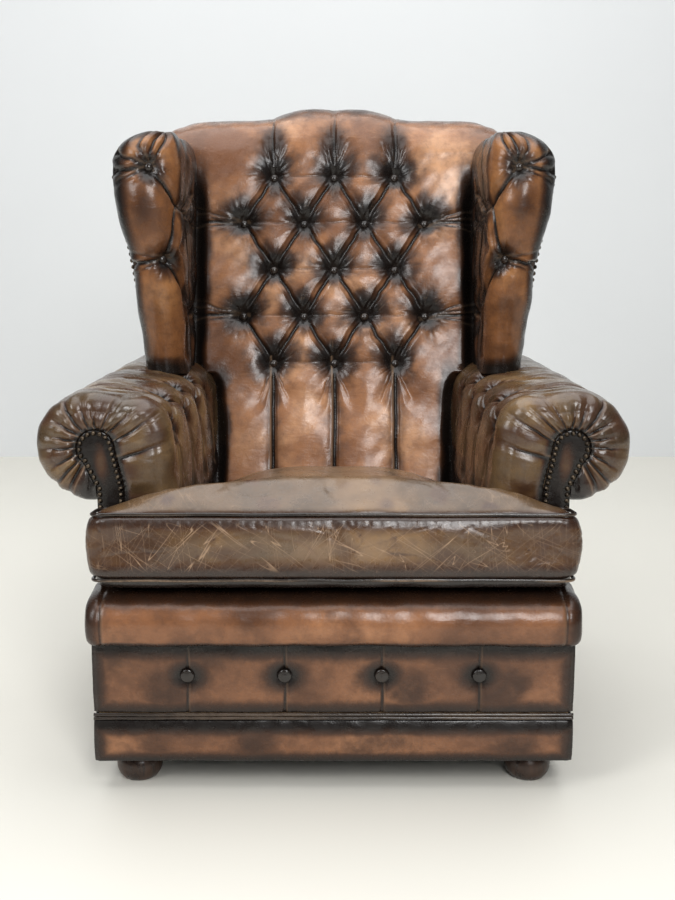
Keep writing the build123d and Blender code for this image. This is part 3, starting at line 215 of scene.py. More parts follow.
@dataclass
class Tufting:
    """Deep buttoning of a padded surface: what the buttons and pleats do to the leather."""

    buttons: list[Flat]
    pleats: list[Pleat]
    seed: int
    button_depth: float = 18.0
    button_reach: float = 17.0
    wrinkle: float = 1.3
    halo: float = 31.0
    halo_shift: Flat = (0.0, 0.0)
    puff: float = 5.0
    far: float = 60.0

    def relief(self, a: Table, b: Table) -> tuple[Table, Table, Table]:
        """Lift, darkening and pale marks of the leather.

        Args:
            a: First flat coordinate of each point, in mm.
            b: Second flat coordinate of each point, in mm.

        Returns:
            Lift along the outward normal in mm, darkening from 0 to 1 that is partly stain and partly painted
            shade, and pale marks from 0 to 1 that are partly wear and partly painted highlight.
        """
        chance = np.random.default_rng(self.seed)
        layers = Layers(*(np.zeros(a.shape) for _ in range(4)), np.full(a.shape, self.far))
        blotch = rolling(a, b, 45.0, self.seed + 5)
        for pleat in self.pleats:
            self.fold(layers, pleat, a, b, blotch, chance.integers(1 << 30))
        for at_a, at_b in self.buttons:
            self.pull(layers, a - at_a, b - at_b, blotch, chance)
        soft = self.puff * (1.0 - np.exp(-layers.nearest / 22.0))
        slow = rolling(a, b, 120.0, self.seed + 1) * 1.5 + rolling(a, b, 38.0, self.seed + 2) * 0.5
        lift = soft + slow + layers.extra - layers.pit
        return lift, np.clip(layers.stain, 0.0, 1.0), np.clip(layers.worn, 0.0, 1.0)

    @staticmethod
    def fold(layers: Layers, pleat: Pleat, a: Table, b: Table, blotch: Table, seed: int) -> None:
        """Work one pleat into the leather.

        Args:
            layers: What is changed.
            pleat: The pleat.
            a: First flat coordinate of each point, in mm.
            b: Second flat coordinate of each point, in mm.
            blotch: Slow unevenness of the darkening.
            seed: Seed of the pleat's wandering.
        """
        share, away, side = pleat.measure(a, b)
        ends = 1.0 - share if pleat.fades else 0.66 + 0.34 * (2 * share - 1) ** 2
        arch = np.sin(math.pi * share)
        wander = 1.6 * rolling(share * 150.0, a * 0, 60.0, seed) * arch
        away = np.where((share > 0) & (share < 1), np.abs(side - wander), away)
        side = side - wander
        layers.press(pleat.depth * ends * hump(away, pleat.reach, 1.05), away)
        size = pleat.depth / 9.0 * arch ** 0.5
        layers.extra += 1.5 * size * hump(side - pleat.reach * 1.25, pleat.reach * 0.42)
        layers.extra += 0.8 * size * hump(side + pleat.reach * 1.9, pleat.reach * 0.4)
        layers.extra -= 1.3 * size * hump(side + pleat.reach * 1.25, 1.5)
        # The crease is darkened, partly by stain and partly by painted shade, with a wider band of painted
        # shade beside it; line paints a pale mark on its ridge, partly wear and partly painted highlight.
        layers.darken(1.3 * pleat.stain * np.minimum(1.0, ends * 1.3) * hump(away, 3.6, 1.7))
        layers.darken(pleat.shade * pleat.stain * ends * hump(away, 17.0 + 5.0 * blotch, 1.4))
        layers.lighten(pleat.line * ends * hump(side - pleat.reach * 1.1, 1.5) * (away < 14.0))

    def pull(
        self, layers: Layers, off_a: Table, off_b: Table, blotch: Table, chance: np.random.Generator
    ) -> None:
        """Pull one button into the leather, with wrinkles that run out from it.

        Args:
            layers: What is changed.
            off_a: First flat coordinate of each point from the button, in mm.
            off_b: Second flat coordinate of each point from the button, in mm.
            blotch: Slow unevenness of the darkening.
            chance: Source of the random draws.
        """
        away = np.hypot(off_a, off_b)
        near = away < 95.0
        turn = np.arctan2(off_b, off_a)
        layers.press(self.button_depth * hump(away, self.button_reach, 1.4), away)
        spokes = chance.integers(8, 11)
        phase, sway = chance.uniform(0, 2 * math.pi, 2)
        ray = ridge(turn * spokes / 2.0 + phase + 0.5 * np.sin(away / 12.0 + sway), 4)
        fine = ridge(turn * spokes + 2 * phase + 0.6 * np.sin(away / 8.0 + sway), 3)
        strength = 0.6 + 0.4 * np.sin(turn * 3.0 + sway)
        window = ease(away, 6.0, 13.0) * (1.0 - ease(away, 22.0, 56.0)) * near
        layers.extra -= self.wrinkle * (ray * strength + 0.45 * fine) * window
        spread = np.hypot(off_a - self.halo_shift[0], off_b - self.halo_shift[1])
        uneven = 0.12 * np.sin(turn * 2.0 + sway)
        reach = self.halo * (1.0 + uneven + 0.14 * blotch + 0.08 * (ray + 0.8 * fine - 0.4))
        # Dark halo round the button, partly stain and partly painted shade in the dimple.
        layers.darken(1.15 * np.exp(-((spread / reach) ** 1.5)))
        layers.darken(1.1 * np.exp(-((away / (0.62 * self.halo)) ** 2.6)))
        # Painted shade in the wrinkles, and a pale mark on their ridges that is partly wear and partly
        # painted highlight.
        layers.darken(0.22 * ray * strength * window)
        layers.lighten(0.3 * hump(ray - 0.3, 0.1) * window * strength * ease(away, 24.0, 34.0))


def outward(points: Table) -> Table:
    """Unit normals of a surface given as rows and columns of points.

    Args:
        points: Rows and columns of points.

    Returns:
        One unit vector for each point.
    """
    along = np.gradient(points, axis=0)
    across = np.gradient(points, axis=1)
    normal = np.cross(across, along)
    return normal / np.maximum(np.linalg.norm(normal, axis=2, keepdims=True), 1e-9)


def travelled(line: Table) -> Table:
    """Distance along a line at each of its points."""
    return np.concatenate([[0.0], np.cumsum(np.hypot(*np.diff(line, axis=0).T))])


def wrapped(table: Table, axis: int) -> Table:
    """Table with its first row or column put again after its last one."""
    return np.concatenate([table, table.take([0], axis)], axis)


def add_marks(piece: Piece, marks: dict[str, Table]) -> None:
    """Keep named values as attributes of a mesh.

    Args:
        piece: The piece.
        marks: For each name, one value for each vertex.
    """
    for key, mark in marks.items():
        layer = piece.data.attributes.new(key, "FLOAT", "POINT")
        layer.data.foreach_set("value", np.ascontiguousarray(mark, dtype=np.float32).ravel())


def move_points(piece: Piece, points: Table) -> None:
    """Put the vertices of a piece at new places, given in mm."""
    piece.data.vertices.foreach_set("co", (points * MM).astype(np.float32).ravel())
    piece.data.update()


def sheet(name: str, table: Table, marks: dict[str, Table]) -> Piece:
    """Make a smooth mesh from rows and columns of points, with equal points merged.

    Args:
        name: Name of the new object.
        table: Places in mm, as rows, columns and 3 coordinates.
        marks: Named values for each point, kept as attributes of the mesh.

    Returns:
        The new object, with its faces pointing outwards.
    """
    rows, columns = table.shape[:2]
    bpy.ops.object.select_all(action="DESELECT")
    bpy.ops.mesh.primitive_grid_add(x_subdivisions=columns - 1, y_subdivisions=rows - 1, size=1)
    piece = bpy.context.object
    piece.name = piece.data.name = name
    move_points(piece, table)
    add_marks(piece, marks)
    bpy.ops.object.mode_set(mode="EDIT")
    bpy.ops.mesh.select_all(action="SELECT")
    bpy.ops.mesh.remove_doubles(threshold=MERGE)
    bpy.ops.mesh.normals_make_consistent(inside=False)
    bpy.ops.object.mode_set(mode="OBJECT")
    bpy.ops.object.shade_smooth()
    return piece


def skin(name: str, points: Table, marks: dict[str, Table], wrap: bool = True) -> Piece:
    """Make a closed padded form from rows and columns of points.

    Args:
        name: Name of the new object.
        points: Places in mm, as rows, columns and 3 coordinates. Rows run round the form.
        marks: Named values for each point, kept as attributes of the mesh.
        wrap: Whether the last row joins the first.

    Returns:
        The new object, smooth, closed at both ends and with its faces pointing outwards.
    """
    ends = [points[:, :1].mean(axis=0, keepdims=True), points[:, -1:].mean(axis=0, keepdims=True)]
    wide = [np.repeat(end, points.shape[0], axis=0) for end in ends]
    table = np.concatenate([wide[0], points, wide[1]], axis=1)
    values = {key: np.concatenate([mark[:, :1], mark, mark[:, -1:]], axis=1) for key, mark in marks.items()}
    if wrap:
        table = wrapped(table, 0)
        values = {key: wrapped(mark, 0) for key, mark in values.items()}
    return sheet(name, table, values)


def backed(face: Table, back: Table, **marks: Table) -> tuple[Table, dict[str, Table]]:
    """Close a thin panel behind its face.

    Args:
        face: Points of the face, as rows and columns.
        back: Points of the plain back, in the same order.
        marks: Named values for each point of the face.

    Returns:
        Points and marks of the whole panel. Its back is dark all over, with no pale marks.
    """
    points = np.concatenate([face, back[::-1][:: len(back) - 1]])
    hidden = {key: np.full((2, face.shape[1]), float(key == "stain")) for key in marks}
    return points, {key: np.concatenate([mark, hidden[key]]) for key, mark in marks.items()}


def modify(piece: Piece, kind: str, **settings: object) -> None:
    """Apply one modifier to a piece.

    Args:
        piece: The piece.
        kind: Blender's name of the modifier's type.
        settings: Properties of the modifier and their values.
    """
    modifier = piece.modifiers.new(kind.lower(), kind)
    for key, value in settings.items():
        setattr(modifier, key, value)
    bpy.context.view_layer.objects.active = piece
    bpy.ops.object.modifier_apply(modifier=modifier.name)


def fit(
    piece: Piece,
    material: Material,
    stands_for: tuple[str, ...] = (),
    body: str = "chair",
) -> Piece:
    """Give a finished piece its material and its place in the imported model.

    Args:
        piece: The piece, in its place.
        material: Its material.
        stands_for: CAD nodes that it replaces.
        body: The body that it moves with.

    Returns:
        The same piece.
    """
    piece.data.materials.clear()
    piece.data.materials.append(material)
    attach(piece, body)
    if stands_for:
        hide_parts(*stands_for)
    LOG.info("%s: %d faces", piece.name, len(piece.data.polygons))
    return piece


class Bench:
    """A material in the making, with short ways to add and join its nodes."""

    def __init__(self, name: str) -> None:
        """Start an empty material with a principled shader.

        Args:
            name: Name of the material.
        """
        self.material = bpy.data.materials.new(name)
        self.material.use_nodes = True
        self.tree = self.material.node_tree
        self.shader = self.tree.nodes["Principled BSDF"]
        self.place = self.tree.nodes.new("ShaderNodeTexCoord").outputs["Object"]

    def node(self, kind: str, **settings: object) -> bpy.types.Node:
        """Add a node and set its properties.

        Args:
            kind: Blender's name of the node's type.
            settings: Properties of the node and their values.

        Returns:
            The new node.
        """
        made = self.tree.nodes.new(kind)
        for key, value in settings.items():
            setattr(made, key, value)
        return made

    def join(self, source: object, target: Socket) -> None:
        """Link a socket to an input, or set the input to a plain value.

        Args:
            source: A socket or a plain value.
            target: The input.
        """
        if isinstance(source, Socket):
            self.tree.links.new(source, target)
        else:
            target.default_value = source

    def mapped(self, kind: str = "POINT", **vectors: Place) -> Socket:
        """Object coordinates moved, turned or stretched.

        Args:
            kind: Blender's name of the type of mapping.
            vectors: Any of Location, Rotation and Scale.

        Returns:
            The changed coordinates.
        """
        mapping = self.node("ShaderNodeMapping", vector_type=kind)
        self.join(self.place, mapping.inputs["Vector"])
        for key, vector in vectors.items():
            mapping.inputs[key].default_value = vector
        return mapping.outputs["Vector"]

    def noise(
        self, scale: float, detail: float = 3.0, rough: float = 0.55, place: object = None, bend: float = 0.0
    ) -> Socket:
        """Cloudy noise from 0 to 1.

        Args:
            scale: How many features there are in a metre.
            detail: Number of finer layers.
            rough: Weight of the finer layers.
            place: Coordinates, or none for the plain ones.
            bend: How far the pattern is bent.

        Returns:
            The noise.
        """
        made = self.node("ShaderNodeTexNoise")
        self.join(place or self.place, made.inputs["Vector"])
        made.inputs["Scale"].default_value = scale
        made.inputs["Detail"].default_value = detail
        made.inputs["Roughness"].default_value = rough
        made.inputs["Distortion"].default_value = bend
        return made.outputs["Fac"]

    def cells(self, scale: float) -> Socket:
        """Distances in a pattern of irregular cells.

        Args:
            scale: How many cells there are in a metre.

        Returns:
            The distances.
        """
        made = self.node("ShaderNodeTexVoronoi", feature="F1")
        self.join(self.place, made.inputs["Vector"])
        made.inputs["Scale"].default_value = scale
        return made.outputs["Distance"]

    def mark(self, name: str) -> Socket:
        """Value of a named attribute of the mesh."""
        return self.node("ShaderNodeAttribute", attribute_name=name).outputs["Fac"]

    def sums(self, operation: str, first: object, second: object = 0.0) -> Socket:
        """Result of one sum on two values.

        Args:
            operation: Blender's name of the sum.
            first: First value.
            second: Second value.

        Returns:
            The result.
        """
        made = self.node("ShaderNodeMath", operation=operation)
        self.join(first, made.inputs[0])
        self.join(second, made.inputs[1])
        return made.outputs[0]

    def span(
        self, value: object, low: float, high: float, to_low: float = 0.0, to_high: float = 1.0
    ) -> Socket:
        """Value carried smoothly from one range to another.

        Args:
            value: Value to carry over.
            low: Where the first range starts.
            high: Where the first range ends.
            to_low: Result at the start.
            to_high: Result at the end.

        Returns:
            The carried value.
        """
        made = self.node("ShaderNodeMapRange", interpolation_type="SMOOTHSTEP")
        self.join(value, made.inputs["Value"])
        for key, number in (("From Min", low), ("From Max", high), ("To Min", to_low), ("To Max", to_high)):
            made.inputs[key].default_value = number
        return made.outputs["Result"]

    def blend(self, share: object, first: object, second: object) -> Socket:
        """Two colours mixed by a share.

        Args:
            share: Share of the second colour, from 0 to 1.
            first: First colour.
            second: Second colour.

        Returns:
            The mixed colour.
        """
        made = self.node("ShaderNodeMix", data_type="RGBA")
        for source, target in ((share, made.inputs[0]), (first, made.inputs[6]), (second, made.inputs[7])):
            if isinstance(source, tuple):
                source = (*source, 1.0)
            self.join(source, target)
        return made.outputs[2]

    def bump(self, height: object, strength: float, depth: float, under: object = None) -> Socket:
        """Normal raised by a height, on top of another normal.

        Args:
            height: Height of each place, from 0 to 1.
            strength: Weight of the effect.
            depth: Height of a full step, in metres.
            under: Normal underneath, if there is one.

        Returns:
            The new normal.
        """
        made = self.node("ShaderNodeBump")
        made.inputs["Strength"].default_value = strength
        made.inputs["Distance"].default_value = depth
        self.join(height, made.inputs["Height"])
        if under is not None:
            self.join(under, made.inputs["Normal"])
        return made.outputs["Normal"]

    def finish(self, **sockets: object) -> Material:
        """Join the shader's inputs, named with underscores, and return the material.

        Args:
            sockets: Sockets or values for the shader's inputs.

        Returns:
            The finished material.
        """
        for key, source in sockets.items():
            target = self.shader.inputs[key.replace("_", " ")]
            if isinstance(source, tuple):
                source = (*source, 1.0)
            self.join(source, target)
        return self.material


@dataclass(frozen=True)
class Leather:
    """Hand-rubbed leather: a clear brown darkened in its folds and round its buttons, partly by stain and
    partly by painted shade, and paled in places, partly by wear and partly by painted highlight.
    """

    name: str
    light: Colour
    middle: Colour
    dark: Colour
    # Colours of the darkening, which is partly stain and partly painted shade, and of the pale marks, which
    # are partly wear and partly painted highlight.
    burnt_and_shaded: Colour = (0.060, 0.024, 0.011)
    stain: Colour = (0.009, 0.0065, 0.0055)
    scuff_and_highlight: Colour = (0.40, 0.26, 0.16)
    roughness: float = 0.27
    shine: float = 0.34
    coat: float = 0.16
    coat_roughness: float = 0.15
    cracks: float = 0.0
    cloud: float = 7.0
    strokes: tuple[Place, ...] = (
        (38.0, 58.0, 0.0), (-40.0, 62.0, 3.1), (22.0, 50.0, 5.7), (-58.0, 66.0, 7.9), (84.0, 90.0, 9.3)
    )

    def scratches(self, bench: Bench) -> Socket:
        """Thin straight lines that cross each other, in patches.

        Each of the strokes has its turn in degrees, its spread and the place of its own patches.

        Args:
            bench: The material in the making.

        Returns:
            Strength of the lines, from 0 to 1.
        """
        lines: object = 0.0
        for turn, spread, place in self.strokes:
            along = bench.mapped(
                "TEXTURE", Location=(place, place, place), Rotation=(0.0, math.radians(turn), 0.0),
                Scale=(1.0 / 3.5, 1.0 / 8.0, 1.0 / spread),
            )
            nearness = bench.sums("ABSOLUTE", bench.sums("SUBTRACT", bench.noise(1.0, 0.8, 0.5, along), 0.5))
            thin = bench.span(nearness, 0.0, 0.0065, 1.0, 0.0)
            patches = bench.noise(14.0, 2.0, 0.5, bench.mapped(Location=(place * 2.0, place, 0.0)))
            thin = bench.sums("MULTIPLY", thin, bench.span(patches, 0.36, 0.53))
            lines = bench.sums("MAXIMUM", lines, thin)
        return lines

    def make(self) -> Material:
        """Build the material.

        Returns:
            The new material.
        """
        bench = Bench(self.name)
        broad = bench.noise(self.cloud, 4.0, 0.55)
        small = bench.noise(48.0, 6.0, 0.68)
        fine = bench.noise(260.0, 4.0, 0.7)
        colour = bench.blend(bench.span(broad, 0.34, 0.52), self.dark, self.middle)
        colour = bench.blend(bench.span(broad, 0.50, 0.68), colour, self.light)
        colour = bench.blend(bench.span(small, 0.35, 0.72, 0.0, 0.5), colour, self.dark)
        colour = bench.blend(bench.span(fine, 0.55, 0.8, 0.0, 0.3), colour, self.light)
        streaks = bench.noise(1.0, 5.0, 0.6, bench.mapped(Scale=(22.0, 22.0, 150.0)), 0.4)
        colour = bench.blend(bench.span(streaks, 0.62, 0.75, 0.0, 0.28), colour, self.light)
        # Darkening from the mesh's mark, which is partly stain and partly painted shade, made uneven by
        # cloudy noise.
        darkening = bench.sums("MULTIPLY", bench.sums("SUBTRACT", small, 0.5), 0.3)
        darkening = bench.sums("ADD", darkening, bench.mark("stain"))
        colour = bench.blend(bench.span(darkening, 0.0, 0.5), colour, self.burnt_and_shaded)
        colour = bench.blend(bench.span(darkening, 0.26, 0.82), colour, self.stain)
        # Pale marks from the mesh's mark, which are partly wear and partly painted highlight and sheen, with
        # the scratches.
        worn = bench.sums("MULTIPLY", bench.mark("worn"), bench.span(small, 0.3, 0.62, 0.35, 1.0))
        if self.cracks:
            lines = bench.sums("MULTIPLY", self.scratches(bench), self.cracks)
            worn = bench.sums("MAXIMUM", worn, bench.sums("MULTIPLY", lines, bench.mark("crackle")))
        colour = bench.blend(worn, colour, self.scuff_and_highlight)
        gloss = bench.span(small, 0.3, 0.75, self.roughness - 0.06, self.roughness + 0.12)
        gloss = bench.sums("ADD", gloss, bench.sums("MULTIPLY", worn, 0.2))
        folds = bench.noise(1.0, 3.0, 0.55, bench.mapped(Scale=(28.0, 28.0, 70.0)), 0.8)
        normal = bench.bump(bench.cells(620.0), 0.22, 0.0004)
        normal = bench.bump(bench.noise(140.0, 5.0, 0.62), 0.22, 0.0011, normal)
        normal = bench.bump(folds, 0.25, 0.003, normal)
        bench.shader.inputs["Specular IOR Level"].default_value = self.shine
        bench.shader.inputs["Coat Weight"].default_value = self.coat
        bench.shader.inputs["Coat Roughness"].default_value = self.coat_roughness
        return bench.finish(Base_Color=colour, Roughness=gloss, Normal=normal)


@dataclass(frozen=True)
class Timber:
    """Wood with its grain along one axis."""

    name: str
    light: Colour
    dark: Colour
    grain: Place = (60.0, 60.0, 8.0)
    roughness: float = 0.4

    def make(self) -> Material:
        """Build the material.

        Returns:
            The new material.
        """
        bench = Bench(self.name)
        lines = bench.noise(1.0, 6.0, 0.65, bench.mapped(Scale=self.grain), 0.7)
        colour = bench.blend(bench.span(lines, 0.35, 0.66), self.dark, self.light)
        gloss = bench.span(lines, 0.3, 0.7, self.roughness - 0.08, self.roughness + 0.1)
        return bench.finish(Base_Color=colour, Roughness=gloss, Normal=bench.bump(lines, 0.15, 0.0006))


@dataclass(frozen=True)
class Metal:
    """Bare or aged metal."""

    name: str
    light: Colour
    dark: Colour
    roughness: float = 0.35

    def make(self) -> Material:
        """Build the material.

        Returns:
            The new material.
        """
        bench = Bench(self.name)
        cloud = bench.noise(160.0, 4.0, 0.6)
        colour = bench.blend(bench.span(cloud, 0.35, 0.65), self.dark, self.light)
        bench.shader.inputs["Metallic"].default_value = 1.0
        gloss = bench.span(cloud, 0.3, 0.7, self.roughness - 0.1, self.roughness + 0.15)
        return bench.finish(Base_Color=colour, Roughness=gloss, Normal=bench.bump(cloud, 0.1, 0.0003))


@dataclass(frozen=True)
class Weave:
    """Plain woven cloth."""

    name: str
    light: Colour
    dark: Colour
    pitch: float = 0.0018

    def make(self) -> Material:
        """Build the material.

        Returns:
            The new material.
        """
        bench = Bench(self.name)
        threads = []
        for direction in ("X", "Y"):
            wave = bench.node("ShaderNodeTexWave", bands_direction=direction)
            bench.join(bench.place, wave.inputs["Vector"])
            wave.inputs["Scale"].default_value = 0.32 / self.pitch
            wave.inputs["Distortion"].default_value = 0.6
            threads.append(wave.outputs["Fac"])
        weave = bench.sums("MULTIPLY", threads[0], threads[1])
        cloud = bench.span(bench.noise(30.0, 4.0, 0.6), 0.2, 0.8, 0.6, 1.0)
        colour = bench.blend(bench.sums("MULTIPLY", weave, cloud), self.dark, self.light)
        return bench.finish(Base_Color=colour, Roughness=0.9, Normal=bench.bump(weave, 0.5, 0.0006))


def made(finish: Leather | Timber | Metal | Weave) -> Any:
    """Field of a dataclass that is a finish, made when the dataclass is."""
    return field(default_factory=finish.make)


@dataclass
class Finishes:
    """All the materials of the chair."""

    back: Material = made(
        Leather("rubbed_red_brown", (0.60, 0.325, 0.175), (0.37, 0.172, 0.082), (0.18, 0.076, 0.036))
    )
    wing: Material = made(
        Leather("rubbed_orange_brown", (0.42, 0.195, 0.075), (0.25, 0.105, 0.041), (0.11, 0.047, 0.022))
    )
    arm: Material = made(
        Leather(
            "rubbed_olive_brown", (0.23, 0.140, 0.060), (0.115, 0.068, 0.031), (0.045, 0.028, 0.015),
            shine=0.55,
        )
    )
    cushion: Material = made(
        Leather(
            "worn_olive_brown", (0.23, 0.130, 0.055), (0.120, 0.068, 0.030), (0.050, 0.031, 0.017),
            shine=0.55, cracks=0.75,
        )
    )
    base: Material = made(
        Leather("rubbed_brown", (0.37, 0.170, 0.080), (0.24, 0.104, 0.048), (0.12, 0.052, 0.026))
    )
    trim: Material = made(
        Leather(
            "dark_trim", (0.030, 0.019, 0.013), (0.018, 0.012, 0.009), (0.010, 0.007, 0.006),
            roughness=0.2, shine=0.5,
        )
    )
    facing: Material = made(
        Leather("dark_facing", (0.15, 0.085, 0.038), (0.075, 0.044, 0.024), (0.03, 0.019, 0.013))
    )
    nail: Material = made(Metal("aged_nail", (0.13, 0.10, 0.07), (0.03, 0.024, 0.02), 0.36))
    # Dark stained timber of the feet, which also covers the frame parts seen in the gaps as painted shade.
    foot: Material = made(
        Timber("stained_foot", (0.055, 0.026, 0.014), (0.018, 0.009, 0.006), roughness=0.3)
    )
    rail: Material = made(
        Timber("frame_beech", (0.55, 0.38, 0.22), (0.42, 0.27, 0.15), (8.0, 60.0, 60.0), 0.6)
    )
    steel: Material = made(Metal("spring_steel", (0.5, 0.5, 0.5), (0.28, 0.28, 0.29)))
    hessian: Material = made(Weave("hessian", (0.50, 0.38, 0.22), (0.26, 0.18, 0.10)))
    lining: Material = made(
        Weave("black_lining", (0.035, 0.032, 0.03), (0.012, 0.011, 0.010), 0.0012)
    )


def smooth_table(shares: tuple[float, ...], values: tuple[float, ...], at: Table) -> Table:
    """Smooth curve through a table of values.

    Args:
        shares: Places of the values, rising.
        values: The values.
        at: Where the curve is wanted.

    Returns:
        The curve's values there.
    """
    x, y = np.array(shares), np.array(values)
    slope = np.gradient(y, x)
    k = np.clip(np.searchsorted(x, at, side="right") - 1, 0, len(x) - 2)
    width = x[k + 1] - x[k]
    t = np.clip((at - x[k]) / width, 0.0, 1.0)
    first = (2 * t**3 - 3 * t**2 + 1) * y[k] + (t**3 - 2 * t**2 + t) * width * slope[k]
    return first + (3 * t**2 - 2 * t**3) * y[k + 1] + (t**3 - t**2) * width * slope[k + 1]


def curve(start: Flat, *parts: tuple[Flat, Flat, Flat, int]) -> Table:
    """Points of cubic curves that follow each other, without the last one.

    Args:
        start: Start of the first curve.
        parts: For each curve its two handles, its end and its number of points.

    Returns:
        One row for each point.
    """
    rows = []
    for first, second, end, count in parts:
        t = np.linspace(0.0, 1.0, count, endpoint=False)[:, None]
        a, b, c, d = (np.array(p, float) for p in (start, first, second, end))
        rows.append((1 - t) ** 3 * a + 3 * (1 - t) ** 2 * t * b + 3 * (1 - t) * t**2 * c + t**3 * d)
        start = end
    return np.concatenate(rows)


def arm_inner_x(z: Table) -> Table:
    """Inner face of the arm's outline at a height, at the front of the arm."""
    levels = (400.0, 465.0, 532.6, 548.0, 562.0, 572.0, 584.0)
    return np.interp(z, levels, (240.0, 241.5, 246.3, 250.5, 259.0, 270.0, 322.0))


def arm_top_z(x: Table, y: Table) -> Table:
    """Height of the arm's upper surface under a point.

    Args:
        x: Distance from the middle, in mm.
        y: Depth, in mm.

    Returns:
        The height, in mm.
    """
    front_x = x + toe_in(y)
    scroll = 509.0 + np.sqrt(np.maximum(80.0**2 - (front_x - 366.0) ** 2, 0.0))
    shoulder = 527.0 + np.sqrt(np.maximum(54.0**2 - (np.minimum(front_x, 300.0) - 300.0) ** 2, 0.0))
    flat = 580.6 + (front_x - 293.3) * 0.1242
    return np.where(front_x < 293.3, shoulder, np.where(front_x < 356.1, flat, scroll))


@dataclass
class Assembly:
    """What all sub-assemblies share."""

    finishes: Finishes


